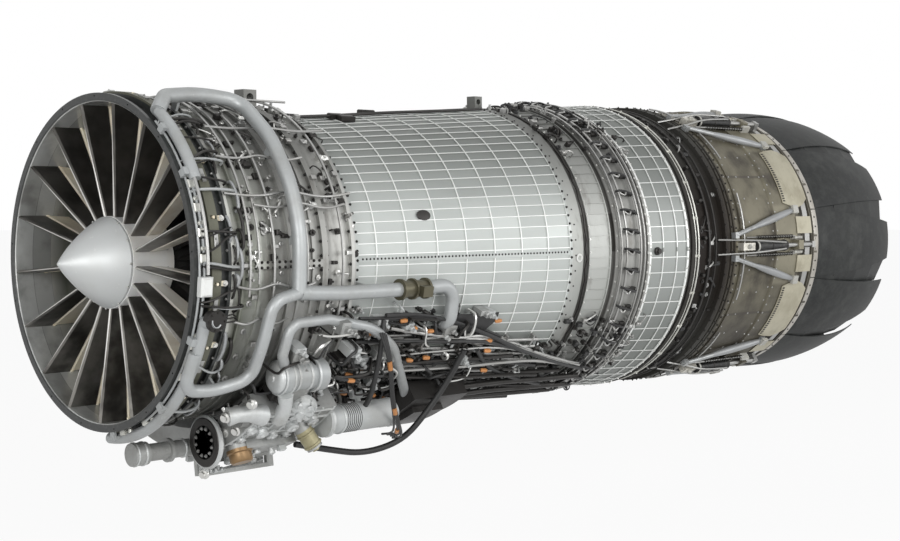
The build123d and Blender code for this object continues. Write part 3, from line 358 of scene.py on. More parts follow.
@dataclass(frozen=True)
class InletFinish:
    """Inlet ring: grey rolled metal on the bore, near-black enamel on the lip and outside."""

    name: str = "inlet_shell"

    def build(self) -> bpy.types.Material:
        """Make the material, with darker seams between the wall's panels.

        Returns:
            The finished material.
        """
        shader = Shader(self.name)
        x, _, z = shader.axes()
        radius = shader.radius()
        inside = radius.ramp(0.5735, 0.5715)
        broad = shader.noise(6.0, 5.0)
        fine = shader.noise(70.0, 3.0)
        panel = shader.cells((shader.angle() * 17 + 0.5).floor(), (x / 0.075).floor())
        wall = shader.blend(panel, (0.62, 0.63, 0.61), (0.34, 0.345, 0.33))
        wall = shader.blend(broad.ramp(0.45, 0.7) * 0.6, wall, (0.12, 0.115, 0.105))
        seam = ((x / 0.075).fract() - 0.5).absolute().ramp(0.485, 0.495)
        wall = shader.blend(seam * 0.7, wall, (0.05, 0.05, 0.05))
        outside = shader.blend(fine.ramp(0.5, 0.75) * 0.5, (0.022, 0.024, 0.023), (0.075, 0.078, 0.075))
        shader.set(
            Base_Color=shader.blend(inside, outside, wall), Metallic=inside * 0.25 + 0.1,
            Roughness=broad * 0.2 + 0.24)
        shader.bump(fine, 0.0003)
        return shader.material


@dataclass(frozen=True)
class ActuatorFinish:
    """Nozzle actuators: pale grey struts either side of a black cylinder with a bright rod."""

    name: str = "actuator_group"
    groups: int = 6

    def build(self) -> bpy.types.Material:
        """Make the material from the angle inside each group and the place along the shaft.

        Returns:
            The finished material.
        """
        shader = Shader(self.name)
        x, _, _ = shader.axes()
        turn = (shader.angle() * self.groups).fract()
        aside = (turn - 0.5).absolute() * (360.0 / self.groups)
        strut = aside.ramp(3.1, 3.5)
        fine = shader.noise(60.0, 4.0)
        body = shader.blend(x.ramp(3.288, 3.292), (0.02, 0.02, 0.02), (0.55, 0.55, 0.54))
        body = shader.blend(x.ramp(3.034, 3.030), body, (0.58, 0.56, 0.50))
        colour = shader.blend(strut, body, (0.36, 0.37, 0.37))
        colour = shader.blend(fine.ramp(0.5, 0.75) * 0.5, colour, (0.10, 0.095, 0.085))
        shader.set(Base_Color=colour, Metallic=0.55, Roughness=fine * 0.2 + 0.28)
        shader.bump(fine, 0.0003)
        return shader.material


@dataclass(frozen=True)
class StrutFinish:
    """Inlet struts: a painted highlight along the slanted nose line, and darker brushed flanks with painted
    shade towards the top.
    """

    name: str = "strut_metal"
    root: tuple[float, float] = (0.056, 0.165)
    tip: tuple[float, float] = (0.003, 0.570)

    def build(self) -> bpy.types.Material:
        """Make the material; the nose line runs straight from root to tip as (x, radius).

        Returns:
            The finished material.
        """
        shader = Shader(self.name)
        x, _, z = shader.axes()
        radius = shader.radius()
        lean = (self.tip[0] - self.root[0]) / (self.tip[1] - self.root[1])
        behind = x - self.root[0] - (radius - self.root[1]) * lean
        brushed = shader.noise(40.0, 4.0, 0.6, (0.5, 2.0, 2.0))
        broad = shader.noise(6.0, 4.0)
        flank = shader.blend(broad.ramp(0.35, 0.65), (0.07, 0.066, 0.06), (0.26, 0.25, 0.23))
        # Painted shade: the flanks darken towards the top of the inlet.
        flank = shader.blend(z.ramp(-0.05, 0.30) * 0.75, flank, (0.045, 0.042, 0.038))
        # Painted highlight: a bright strip just behind the nose line.
        colour = shader.blend(behind.ramp(0.0006, 0.0022), (0.62, 0.61, 0.58), flank)
        shader.set(Base_Color=colour, Metallic=0.75, Roughness=brushed * 0.2 + broad * 0.12 + 0.2)
        shader.bump(brushed, 0.0002)
        return shader.material


@dataclass(frozen=True)
class FlapFinish:
    """Bright inlet metal that turns tan and brown towards its edges."""

    name: str
    near: tuple[float, float, float]
    far: tuple[float, float, float]
    dark: tuple[float, float, float]
    metallic: float = 0.8

    def build(self) -> bpy.types.Material:
        """Make the material, with brushing across the span.

        Returns:
            The finished material.
        """
        shader = Shader(self.name)
        x, _, _ = shader.axes()
        radius = shader.radius()
        brushed = shader.noise(40.0, 4.0, 0.6, (4.0, 0.5, 0.5))
        broad = shader.noise(5.0, 4.0)
        colour = shader.blend(radius.ramp(0.2, 0.55), self.near, self.far)
        colour = shader.blend(
            (broad.ramp(0.45, 0.7) * 0.7).most(x.ramp(0.16, 0.215) * 0.5), colour, self.dark)
        shader.set(Base_Color=colour, Metallic=self.metallic, Roughness=brushed * 0.2 + broad * 0.15 + 0.22)
        shader.bump(brushed, 0.0002)
        return shader.material


@dataclass(frozen=True)
class StripeFinish:
    """Case metal with rings of different tone along the shaft, and painted shade towards the top and the bottom.
    """

    name: str
    stops: tuple[tuple[float, tuple[float, float, float]], ...]
    start: float
    end: float
    metallic: float = 0.55
    roughness: float = 0.42
    panels: int = 24
    worn: tuple[float, float, float] = (0.42, 0.42, 0.40)
    grime: tuple[float, float, float] = (0.14, 0.125, 0.11)
    sheen: float = 0.5

    def build(self) -> bpy.types.Material:
        """Make the material from the tones at their stations, with panel and grime variation and painted shade
        at the top and the bottom.

        Returns:
            The finished material.
        """
        shader = Shader(self.name)
        x, _, z = shader.axes()
        along = (x - self.start) / (self.end - self.start)
        stops = [((place - self.start) / (self.end - self.start), tone) for place, tone in self.stops]
        base = shader.node("ShaderNodeValToRGB", {"stops": stops}, {0: along})
        panel = shader.cells((shader.angle() * self.panels).floor(), (x / 0.11).floor())
        streak = shader.noise(11.0, 6.0, 0.62, (1.6, 0.6, 0.6))
        fine = shader.noise(120.0, 3.0)
        colour = shader.blend(panel * 0.4, base, self.worn)
        colour = shader.blend(streak.ramp(0.52, 0.72) * 0.5, colour, self.grime)
        # Painted shade: the case darkens towards the top and the bottom.
        painted_shade = z.ramp(0.15, 0.56).most(z.ramp(-0.15, -0.5)) * 0.72
        colour = shader.blend(painted_shade, colour, (0.055, 0.055, 0.05))
        shader.set(
            Base_Color=colour, Metallic=self.metallic,
            Roughness=fine * 0.15 + streak * 0.2 + self.roughness - 0.1, Specular_IOR_Level=self.sheen)
        shader.bump(fine + streak * 2, 0.0004)
        return shader.material


@dataclass(frozen=True)
class PetalFinish:
    """Dark matt nozzle flap skin, mottled and brushed with heat."""

    name: str = "petal_skin"

    def build(self) -> bpy.types.Material:
        """Make the material with mottling, pale scuffs and a sooty exit edge.

        Returns:
            The finished material.
        """
        shader = Shader(self.name)
        x, _, _ = shader.axes()
        mottle = shader.noise(16.0, 8.0, 0.7)
        cloud = shader.noise(4.0, 5.0)
        scuff = shader.noise(45.0, 5.0, 0.7, (0.3, 1.0, 1.0))
        colour = shader.blend(mottle.ramp(0.35, 0.7), (0.016, 0.017, 0.017), (0.040, 0.042, 0.040))
        colour = shader.blend(cloud.ramp(0.5, 0.75) * 0.45, colour, (0.085, 0.088, 0.084))
        colour = shader.blend(scuff.ramp(0.62, 0.8) * 0.35, colour, (0.16, 0.16, 0.15))
        colour = shader.blend(x.ramp(4.25, 4.39) * 0.5, colour, (0.03, 0.028, 0.026))
        shader.set(Base_Color=colour, Metallic=0.1, Roughness=mottle * 0.25 + 0.42, Specular_IOR_Level=0.22)
        shader.bump(mottle + scuff * 0.5, 0.0006)
        return shader.material


@dataclass(frozen=True)
class SheetFinish:
    """Khaki heat-tinted sheet over the nozzle support, with riveted panels."""

    name: str = "khaki_sheet"

    def build(self) -> bpy.types.Material:
        """Make the material: khaki skin, cream panels between the actuators, soot at the joints and painted
        shade towards the bottom.

        Returns:
            The finished material.
        """
        shader = Shader(self.name)
        x, _, z = shader.axes()
        turns = shader.angle() * 6
        share = (turns.fract() - 0.5).absolute()
        cloud = shader.noise(6.0, 6.0, 0.6)
        fine = shader.noise(80.0, 4.0)
        khaki = shader.blend(cloud.ramp(0.35, 0.7), (0.18, 0.165, 0.120), (0.055, 0.048, 0.036))
        cream = share.ramp(0.30, 0.26) * x.ramp(3.262, 3.268) * x.ramp(3.45, 3.44)
        colour = shader.blend(cream * 0.7, khaki, (0.27, 0.25, 0.185))
        colour = shader.blend(x.ramp(3.45, 3.47) * 0.8, colour, (0.12, 0.11, 0.09))
        seam = share.ramp(0.485, 0.495)
        colour = shader.blend(seam * 0.7, colour, (0.07, 0.06, 0.05))
        colour = shader.blend(fine.ramp(0.55, 0.8) * 0.4, colour, (0.12, 0.10, 0.08))
        # Painted shade: darker towards the bottom.
        colour = shader.blend(z.ramp(-0.05, -0.5) * 0.7, colour, (0.035, 0.03, 0.024))
        shader.set(Base_Color=colour, Metallic=0.35, Roughness=cloud * 0.25 + 0.36, Specular_IOR_Level=0.3)
        shader.bump(fine + cloud, 0.0005)
        return shader.material


# Shapes

@dataclass
class Shape:
    """Vertices and faces of a piece, kept as arrays until it becomes a mesh."""

    points: Array
    faces: list[Array] = field(default_factory=list)

    @staticmethod
    def joined(shapes: Iterable["Shape"]) -> "Shape":
        """One shape that holds all the given ones."""
        points, faces, count = [], [], 0
        for shape in shapes:
            points.append(shape.points)
            faces += [block + count for block in shape.faces]
            count += len(shape.points)
        return Shape(np.concatenate(points), faces)

    def copies(self, frames: Array, places: Array) -> "Shape":
        """Copies of the shape, one for each frame and place.

        Args:
            frames: (n, 3, 3) rows of the local x, y and z directions, or one such frame for all the places.
            places: (n, 3) origins.

        Returns:
            All the copies as one shape; point = place + local coordinates times frame.
        """
        points = np.einsum("vk,nkc->nvc", self.points, frames.reshape(-1, 3, 3)) + places[:, None, :]
        step = len(self.points) * np.arange(len(places))
        faces = [(block[None] + step[:, None, None]).reshape(-1, block.shape[1]) for block in self.faces]
        return Shape(points.reshape(-1, 3), faces)

    def seated(
            self, x: Any, turns: Any, radius: Any,
            frames: Optional[Callable[[Any], Array]] = None) -> "Shape":
        """Copies that stand at stations, angles and radii about the shaft.

        Args:
            x: stations.
            turns: angles from the top towards port, in degrees.
            radius: distances from the shaft.
            frames: gives the directions at an angle; outward where it is None.

        Returns:
            All the copies as one shape.
        """
        turns = np.atleast_1d(np.asarray(turns, float))
        return self.copies((frames or outward)(turns), polar(x, turns, radius))

    def build(self, name: str, material: bpy.types.Material, body: str, slot: str) -> bpy.types.Object:
        """Turn the shape into an object that rides on a CAD body.

        Args:
            name: object name.
            material: its finish.
            body: CAD body that carries it.
            slot: not used.

        Returns:
            The new object.
        """
        mesh = bpy.data.meshes.new(name)
        rows = [tuple(map(int, row)) for block in self.faces for row in block]
        mesh.from_pydata(self.points.tolist(), [], rows)
        mesh.materials.append(material)
        mesh.validate()
        made = bpy.data.objects.new(name, mesh)
        bpy.context.scene.collection.objects.link(made)
        mesh.shade_smooth()
        mesh.set_sharp_from_angle(angle=SHARP_ANGLE)
        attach(made, body)
        log.info("%s: %d faces on %s", name, len(mesh.polygons), body)
        return made


def unit(vectors: Array) -> Array:
    """Vectors over their own lengths."""
    return vectors / np.linalg.norm(vectors, axis=-1, keepdims=True)


def polar(x: Any, degrees: Any, radius: Any) -> Array:
    """Points (x, -r sin a, r cos a): angle from the top towards port, about the shaft."""
    x, degrees, radius = np.broadcast_arrays(*(np.asarray(v, float) for v in (x, degrees, radius)))
    turn = np.radians(degrees)
    return np.stack([x, -radius * np.sin(turn), radius * np.cos(turn)], axis=-1)


def via(*rows: tuple[float, float, float]) -> Array:
    """Points at the given rows of station, angle and radius."""
    return polar(*np.array(rows, float).T)


def outward(degrees: Any) -> Array:
    """Frames whose rows are aft, along the skin and away from the shaft.

    At angle a the rows are (1, 0, 0), (0, cos a, sin a) and (0, -sin a, cos a).
    """
    turn = np.radians(np.asarray(degrees, float))
    zero, one = np.zeros_like(turn), np.ones_like(turn)
    aft = np.stack([one, zero, zero], axis=-1)
    along = np.stack([zero, np.cos(turn), np.sin(turn)], axis=-1)
    away = np.stack([zero, -np.sin(turn), np.cos(turn)], axis=-1)
    return np.stack([aft, along, away], axis=-2)


def axial(degrees: Any) -> Array:
    """Frames whose rows are along the skin, away from the shaft and aft.

    They carry shapes that are turned about a line parallel to the shaft.
    """
    return outward(degrees)[..., [1, 2, 0], :]


def facing(directions: Array) -> Array:
    """Frames whose third row is the given direction.

    The first row is square to it and to a fixed slanted line.
    """
    away = unit(np.asarray(directions, float))
    first = unit(np.cross(away, np.array([0.31, 0.87, 0.39])))
    return np.stack([first, np.cross(away, first), away], axis=-2)


def round_places(radius: float, count: int, height: float = 0.0) -> Array:
    """Points (r cos t, r sin t, h) spread evenly about local z."""
    t = np.arange(count) * 2 * np.pi / count
    return np.stack([radius * np.cos(t), radius * np.sin(t), np.full(count, height)], -1)


def swept(points: Array, sides: int, flip: bool = False) -> Shape:
    """Closed surface over rings of points that follow each other, with a cap at each end.

    Args:
        points: the rings' points, ring after ring.
        sides: number of points in a ring.
        flip: True where the rings run clockwise, seen from the last one.

    Returns:
        The surface with its faces outwards.
    """
    ring = np.arange(sides)
    after = (ring + 1) % sides
    start = np.arange(len(points) // sides - 1)[:, None] * sides
    quads = np.stack([start + ring, start + after, start + sides + after, start + sides + ring], -1)
    faces = [quads.reshape(-1, 4), ring[None, ::-1], (len(points) - sides + ring)[None]]
    if flip:
        faces = [faces[0][:, [0, 3, 2, 1]], faces[1][:, ::-1], faces[2][:, ::-1]]
    return Shape(points, faces)


def lathe(profile: Sequence[tuple[float, float]], sides: int = 12) -> Shape:
    """Turned shape about local z, closed at both ends: (r cos t, r sin t, h) for each (r, h)."""
    r, h = np.array(profile, float).T
    t = np.arange(sides) * 2 * np.pi / sides
    level = np.broadcast_to(h[:, None], (len(r), sides))
    return swept(np.stack([r[:, None] * np.cos(t), r[:, None] * np.sin(t), level], -1).reshape(-1, 3), sides)


def brick(length: float, width: float, height: float, bevel: float = 0.15) -> Shape:
    """Box on its base with a chamfered top, inset by bevel times height."""
    inset = bevel * height
    corners = np.array([(-1, -1), (1, -1), (1, 1), (-1, 1)], float)
    rows = []
    for level, cut in ((0.0, 0.0), (height - inset, 0.0), (height, inset)):
        half = np.array([length / 2 - cut, width / 2 - cut])
        rows.append(np.column_stack([corners * half, np.full(4, level)]))
    return swept(np.concatenate(rows), 4)


def bolt_head(radius: float, height: float) -> Shape:
    """Hexagon head on a round washer with a short shank end."""
    washer = lathe([(radius * 1.35, 0.0), (radius * 1.35, height * 0.22)], 10)
    head = lathe([(radius, height * 0.2), (radius, height * 0.85), (radius * 0.85, height)], 6)
    stub = lathe([(radius * 0.45, height * 0.9), (radius * 0.45, height * 1.35)], 6)
    return Shape.joined([washer, head, stub])


def smooth_path(points: Array, steps: int = 6) -> Array:
    """Quadratic B-spline through the midpoints of the runs, with its ends on the first and last point.

    Each piece is (1-t)^2/2 a + (1/2 + t - t^2) b + t^2/2 c for three points in turn.
    """
    held = np.concatenate([2 * points[:1] - points[1:2], points, 2 * points[-1:] - points[-2:-1]])
    t = np.linspace(0, 1, steps, endpoint=False)[:, None]
    weights = np.stack([(1 - t) ** 2 / 2, 0.5 + t - t ** 2, t ** 2 / 2])
    pieces = np.stack([held[:-2], held[1:-1], held[2:]])
    curve = np.einsum("kto,knc->ntc", weights, pieces).reshape(-1, 3)
    end = (held[-2:-1] + held[-1:]) / 2
    whole = np.concatenate([curve, end])
    first = np.argmin(np.linalg.norm(whole - points[0], axis=1))
    last = np.argmin(np.linalg.norm(whole - points[-1], axis=1))
    return np.concatenate([points[:1], whole[first + 1:last], points[-1:]])


def rod(path: Array, radius: Union[float, Array], sides: int = 8) -> Shape:
    """Round bar along a path: ring point = path + r (cos t side + sin t up), with closed ends.

    The side direction is square to the path and to the way out from the shaft.
    """
    tangent = unit(np.gradient(path, axis=0))
    away = path * np.array([0.0, 1.0, 1.0]) + np.array([0.37, 0.011, 0.007])
    side = unit(np.cross(tangent, unit(away)))
    up = np.cross(side, tangent)
    t = np.arange(sides) * 2 * np.pi / sides
    reach = np.broadcast_to(np.asarray(radius, float), (len(path),))[:, None, None]
    circle = np.cos(t)[None, :, None] * side[:, None, :] + np.sin(t)[None, :, None] * up[:, None, :]
    return swept((path[:, None, :] + reach * circle).reshape(-1, 3), sides, True)


def tube(points: Array, radius: Union[float, Array], sides: int = 8, steps: int = 6) -> Shape:
    """Round bar along the smoothed path through the points."""
    return rod(smooth_path(points, steps), radius, sides)


def hoop(
        x: float, radius: float, thick: float, first: float = 0.0, last: float = 359.9,
        sides: int = 8) -> Shape:
    """Round wire about the shaft between two angles, by default nearly all the way round."""
    turns = np.linspace(first, last, max(4, int(abs(last - first) / 4)) + 1)
    return rod(polar(x, turns, radius), thick, sides)


def ring_bolts(
        x: float, radius: float, count: int, size: float, first: float = 0.0, along: bool = False,
        ahead: bool = True) -> Shape:
    """Circle of bolt heads.

    Args:
        x: station of the heads' seat.
        radius: circle radius.
        count: number of heads.
        size: head radius.
        first: angle of the first head.
        along: True where the heads stand on a flange face and point along the shaft, else away from it.
        ahead: on a flange face, True where they point forward.

    Returns:
        The heads as one shape.
    """
    turns = first + np.arange(count) * 360.0 / count
    frames = outward(turns)
    if along and ahead:
        frames = frames[:, [2, 1, 0], :] * np.array([[-1.0], [1.0], [-1.0]])
    elif along:
        frames = frames[:, [1, 2, 0], :]
    return bolt_head(size, size * 1.1).copies(frames, polar(x, turns, radius))


def plate(rows: Sequence[tuple[float, float, float, float]], thick: float, columns: int = 8) -> Shape:
    """Curved sheet whose outline is given row by row.

    Args:
        rows: (x, radius, first angle, last angle) of each row from front to back.
        thick: how far the sheet goes down from its radius.
        columns: strips across the sheet.

    Returns:
        A closed sheet with an outer and an inner skin.
    """
    x, radius, first, last = np.array(rows, float).T
    share = np.linspace(0.0, 1.0, columns + 1)
    turns = first[:, None] + (last - first)[:, None] * share
    wide = columns + 1
    outer = polar(x[:, None], turns, radius[:, None]).reshape(-1, 3)
    inner = polar(x[:, None], turns, radius[:, None] - thick).reshape(-1, 3)
    corner = (np.arange(len(x) - 1)[:, None] * wide + np.arange(columns)).reshape(-1)
    top = np.stack([corner, corner + 1, corner + wide + 1, corner + wide], -1)
    base = len(outer)
    rim = np.concatenate([
        np.arange(wide), np.arange(2, len(x) + 1) * wide - 1,
        np.arange(len(outer) - 2, len(outer) - wide - 1, -1), np.arange(len(x) - 2, 0, -1) * wide])
    after = np.roll(rim, -1)
    return Shape(
        np.concatenate([outer, inner]),
        [top, top[:, ::-1] + base, np.stack([rim, rim + base, after + base, after], -1)])


def collar(radius: float, width: float, bolts: int = 0, size: float = 0.004) -> Shape:
    """Flange ring about local z with bolt heads round its front face."""
    lip = width * 0.2
    ring = lathe([(radius - lip, 0.0), (radius, lip), (radius, width - lip), (radius - lip, width)], 28)
    if not bolts:
        return ring
    ahead = np.array([[0.0, 1.0, 0.0], [1.0, 0.0, 0.0], [0.0, 0.0, -1.0]])
    heads = bolt_head(size, size).copies(ahead, round_places(radius - 2.2 * size, bolts))
    return Shape.joined([ring, heads])


def boss(radius: float, height: float, bolts: int = 6) -> Shape:
    """Cast boss about local z: bolted foot, waist, cap with a rounded rim and a hexagon plug."""
    body = lathe(
        [
            (1.3 * radius, 0.0), (1.3 * radius, 0.14 * height), (radius, 0.2 * height),
            (0.92 * radius, 0.6 * height), (radius, 0.66 * height), (radius, 0.84 * height),
            (0.86 * radius, 0.93 * height)],
        20)
    plug = lathe(
        [(0.34 * radius, 0.9 * height), (0.34 * radius, 1.1 * height), (0.28 * radius, 1.15 * height)], 6)
    heads = bolt_head(0.09 * radius + 0.0015, 0.003)
    ring = heads.copies(np.eye(3), round_places(1.15 * radius, bolts, 0.13 * height))
    return Shape.joined([body, plug, ring])


def coil(
        start: float, end: float, turn: float, radius: float, reach: float, wire: float,
        count: int) -> Shape:
    """Spring along the shaft: point = axis + reach (cos t along + sin t away), t growing with x."""
    t = np.linspace(0.0, 2 * np.pi * count, count * 10 + 1)
    frame_rows = outward(np.array([turn]))[0]
    axis = polar(np.linspace(start, end, len(t)), turn, radius)
    path = axis + reach * (np.cos(t)[:, None] * frame_rows[1] + np.sin(t)[:, None] * frame_rows[2])
    return rod(path, wire, 5)


# Sizes that the dressing shares with the CAD, in metres

@dataclass(frozen=True)
class Stations:
    """Places along the shaft and the radii of what sits there."""

    frame_end: float = 0.740
    duct_start: float = 0.746
    duct_end: float = 1.846
    duct_slope: float = 0.078 / 1.1
    band_slope: float = 0.047 / 0.727

    def rib_top(self, x: Any) -> Any:
        """Radius over the bypass duct's ring ribs."""
        return 0.535 + (np.asarray(x) - self.duct_start) * self.duct_slope

    def skin(self, x: Any) -> Any:
        """Radius of the bare casing anywhere between the lip and the nozzle support."""
        return np.interp(
            x, [0.15, 0.56, 0.69, 0.745, 0.75, 1.846, 2.573, 2.60, 2.926, 3.40],
            [0.580, 0.573, 0.560, 0.540, 0.530, 0.607, 0.654, 0.632, 0.640, 0.650])

    def middle(self, x: Any) -> Any:
        """Radius over the flanges behind the bypass duct."""
        return 0.613 + (np.asarray(x) - self.duct_end) * self.band_slope


ST = Stations()
SPLITS = (-90.0, 90.0)
DRIVE_PAD = (0.304, 162.0, 0.684)
FORWARD = np.array([[0, 1.0, 0], [0, 0, -1.0], [-1.0, 0, 0]])


@dataclass
class Workshop:
    """Holds the finishes and hands them to the builders."""

    made: dict[str, bpy.types.Material] = field(default_factory=dict)

    def __getitem__(self, name: str) -> bpy.types.Material:
        """Finish by name."""
        return self.made[name]

    def fill(self) -> None:
        """Make every finish once."""
        finishes = [
            DuctFinish(
                "milled_duct", 0.841, 0.145, 84, -90.0 + 180.0 / 84, ST.duct_start, 0.5295, ST.duct_slope),
            DuctFinish("milled_rear", 2.405, 0.090, 60, 3.0, ST.duct_end, 0.6075, ST.band_slope),
            InletFinish(), ActuatorFinish(), PetalFinish(), SheetFinish(), StrutFinish(),
            FlapFinish("flap_metal", (0.94, 0.92, 0.86), (0.92, 0.84, 0.66), (0.60, 0.50, 0.36), 0.15),
            FlapFinish("hub_metal", (0.95, 0.95, 0.93), (0.90, 0.90, 0.88), (0.80, 0.76, 0.68), 0.1),
            StripeFinish(
                "fan_metal",
                (
                    (0.15, (0.525, 0.525, 0.490)), (0.21, (0.140, 0.149, 0.114)),
                    (0.28, (0.385, 0.394, 0.359)), (0.34, (0.175, 0.175, 0.158)),
                    (0.45, (0.455, 0.455, 0.438)), (0.56, (0.280, 0.280, 0.263)),
                    (0.66, (0.525, 0.525, 0.499)), (0.746, (0.455, 0.455, 0.438))),
                0.15, 0.746),
            StripeFinish(
                "band_metal",
                (
                    (1.846, (0.40, 0.41, 0.39)), (1.905, (0.34, 0.35, 0.33)), (1.915, (0.04, 0.038, 0.035)),
                    (1.942, (0.05, 0.047, 0.042)), (1.95, (0.43, 0.44, 0.42)), (2.074, (0.40, 0.41, 0.39)),
                    (2.085, (0.035, 0.033, 0.03)), (2.10, (0.05, 0.047, 0.042)),
                    (2.115, (0.30, 0.30, 0.285)), (2.315, (0.26, 0.26, 0.245))),
                1.846, 2.315),
            StripeFinish(
                "exhaust_metal",
                (
                    (2.573, (0.14, 0.14, 0.13)), (2.62, (0.030, 0.026, 0.023)),
                    (2.70, (0.016, 0.013, 0.011)), (2.82, (0.014, 0.012, 0.010)),
                    (2.86, (0.030, 0.026, 0.022)), (2.926, (0.10, 0.09, 0.07))),
                2.573, 2.926, 0.1, 0.5, 24, (0.030, 0.025, 0.022), (0.008, 0.006, 0.005), 0.1),
            Finish("nose_coat", (0.57, 0.585, 0.58), 0.3, 0.44, Wear.CLEAN, 40.0, 0.0001),
            Finish("olive_film", (0.12, 0.12, 0.09), 0.3, 0.5, Wear.HANDLED),
            Finish("blade_metal", (0.045, 0.044, 0.042), 0.7, 0.35, Wear.HANDLED),
            Finish("core_metal", (0.36, 0.34, 0.31), 0.7, 0.45, Wear.SCORCHED),
            Finish("hot_metal", (0.17, 0.145, 0.125), 0.6, 0.55, Wear.SCORCHED),
            Finish("liner_coat", (0.30, 0.28, 0.25), 0.35, 0.6, Wear.SCORCHED),
            Finish("cast_grey", (0.36, 0.365, 0.355), 0.45, 0.48, Wear.OILY, 70.0, 0.0006),
            Finish("grey_enamel", (0.46, 0.475, 0.47), 0.05, 0.4, Wear.HANDLED),
            Finish("pipe_satin", (0.40, 0.415, 0.415), 0.35, 0.42, Wear.HANDLED, 50.0, 0.0002),
            Finish("browned_bronze", (0.115, 0.105, 0.07), 0.65, 0.4, Wear.OILY),
            Finish("steel", (0.36, 0.36, 0.35), 0.85, 0.34, Wear.HANDLED),
            # Near-black: the steel's own dark colour, made darker still as painted shade in the gaps between
            # crowded parts.
            Finish("dark_steel", (0.034, 0.032, 0.030), 0.6, 0.42, Wear.OILY),
            Finish("bright_steel", (0.62, 0.62, 0.60), 0.9, 0.28, Wear.CLEAN),
            Finish("black_hose", (0.018, 0.018, 0.018), 0.0, 0.5, Wear.CLEAN),
            Finish("orange_fitting", (0.55, 0.24, 0.08), 0.2, 0.45, Wear.OILY),
            Finish("amber_cap", (0.24, 0.15, 0.07), 0.5, 0.4, Wear.OILY),
            Finish("tan_film", (0.34, 0.31, 0.19), 0.4, 0.4, Wear.OILY),
            Finish("pale_steel", (0.58, 0.58, 0.54), 0.6, 0.36, Wear.HANDLED),
            Finish("nozzle_steel", (0.44, 0.42, 0.38), 0.8, 0.33, Wear.SCORCHED),
            Finish("strut_grey", (0.33, 0.34, 0.345), 0.35, 0.38, Wear.HANDLED),
            Finish("cream_sheet", (0.47, 0.44, 0.335), 0.25, 0.45, Wear.SCORCHED, 30.0),
            Finish("silver_casting", (0.56, 0.575, 0.57), 0.4, 0.42, Wear.OILY, 90.0, 0.0006),
            Finish("white_paint", (0.80, 0.81, 0.79), 0.0, 0.4, Wear.HANDLED),
            Finish("white_strut", (0.46, 0.455, 0.42), 0.2, 0.42, Wear.HANDLED)]
        self.made = {finish.name: finish.build() for finish in finishes}


# Dressing, one class for each sub-assembly

@dataclass
class Dress:
    """Base of the dressing classes: holds the finishes and turns shapes into pieces."""

    shop: Workshop

    def put(self, name: str, finish: str, slot: str, *shapes: Shape, body: str = "engine") -> None:
        """Join shapes into one piece.

        Args:
            name: object name.
            finish: name of its finish.
            slot: not used; it is only handed on to Shape.build.
            shapes: what it is made of.
            body: CAD body that carries it.
        """
        Shape.joined(shapes).build(name, self.shop[finish], body, slot)


@dataclass
class CadDress(Dress):
    """Gives every carried-over CAD node its finish."""

    plain: dict[str, str] = field(
        default_factory=lambda: {
            "inlet_ring": "inlet_shell", "inlet_struts": "strut_metal", "inlet_hub": "hub_metal",
            "bullet_nose": "nose_coat", "flap_drive_ring": "olive_film", "fan_case": "fan_metal",
            "fan_rotor": "blade_metal", "fan_frame": "fan_metal", "core_rotor": "core_metal",
            "core_case": "core_metal", "combustor_liner": "hot_metal", "low_turbine": "hot_metal",
            "turbine_frame": "hot_metal", "main_bearings": "steel", "bypass_duct_upper": "milled_duct",
            "bypass_duct_lower": "milled_duct", "duct_middle_section": "band_metal",
            "duct_rear_section": "milled_rear", "flame_holder": "hot_metal",
            "afterburner_liner": "liner_coat", "exhaust_case": "exhaust_metal",
            "nozzle_support": "khaki_sheet", "nozzle_drive_ring": "steel",
            "nozzle_actuators": "actuator_group", "accessory_gearbox": "cast_grey",
            "fuel_pump": "pipe_satin", "generator": "grey_enamel", "air_pipes": "pipe_satin",
            "bleed_valve": "browned_bronze", "service_tubes": "steel", "afterburner_control": "dark_steel"})

    def build(self) -> None:
        """Put each node's finish in its first material slot."""
        for name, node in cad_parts.items():
            finish = self.plain.get(name) or ("flap_metal" if name.startswith("inlet_flap") else "petal_skin")
            node.data.materials.clear()
            node.data.materials.append(self.shop[finish])
        log.info("dressed %d CAD nodes", len(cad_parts))


@dataclass
class InletDress(Dress):
    """Bolts and small parts round the lip, the nose and the flap levers."""

    flaps: int = 17
    first: float = 180.0
    stem_x: float = 0.126

    def build(self) -> None:
        """Add the nose screws, lip bolts, lever nuts and drive ring pads."""
        turns = self.first + np.arange(self.flaps) * 360 / self.flaps
        nose = ring_bolts(0.040, 0.1628, 12, 0.0035)
        hub = ring_bolts(0.190, 0.1648, 16, 0.0032, 6.0)
        self.put("nose_screws", "bright_steel", "steel", nose, hub)
        lip = ring_bolts(0.012, 0.589, self.flaps, 0.0055, 0.0, True, False)
        rear = ring_bolts(0.138, 0.592, 68, 0.0042, 0.0, True)
        self.put("lip_bolts", "steel", "steel", lip, rear)
        for index, turn in enumerate(turns):
            nut = bolt_head(0.0075, 0.007).seated(self.stem_x, turn, 0.596)
            self.put(f"lever_nut_{index + 1:02d}", "bright_steel", "steel", nut, body=f"flap_{index + 1:02d}")
        pads = brick(0.016, 0.05, 0.006).seated(0.083, turns + 7.0, 0.6078)
        screws = ring_bolts(0.083, 0.6138, self.flaps, 0.004, self.first + 7.0)
        self.put("drive_ring_pads", "steel", "olive", pads, screws, body="flap_ring")


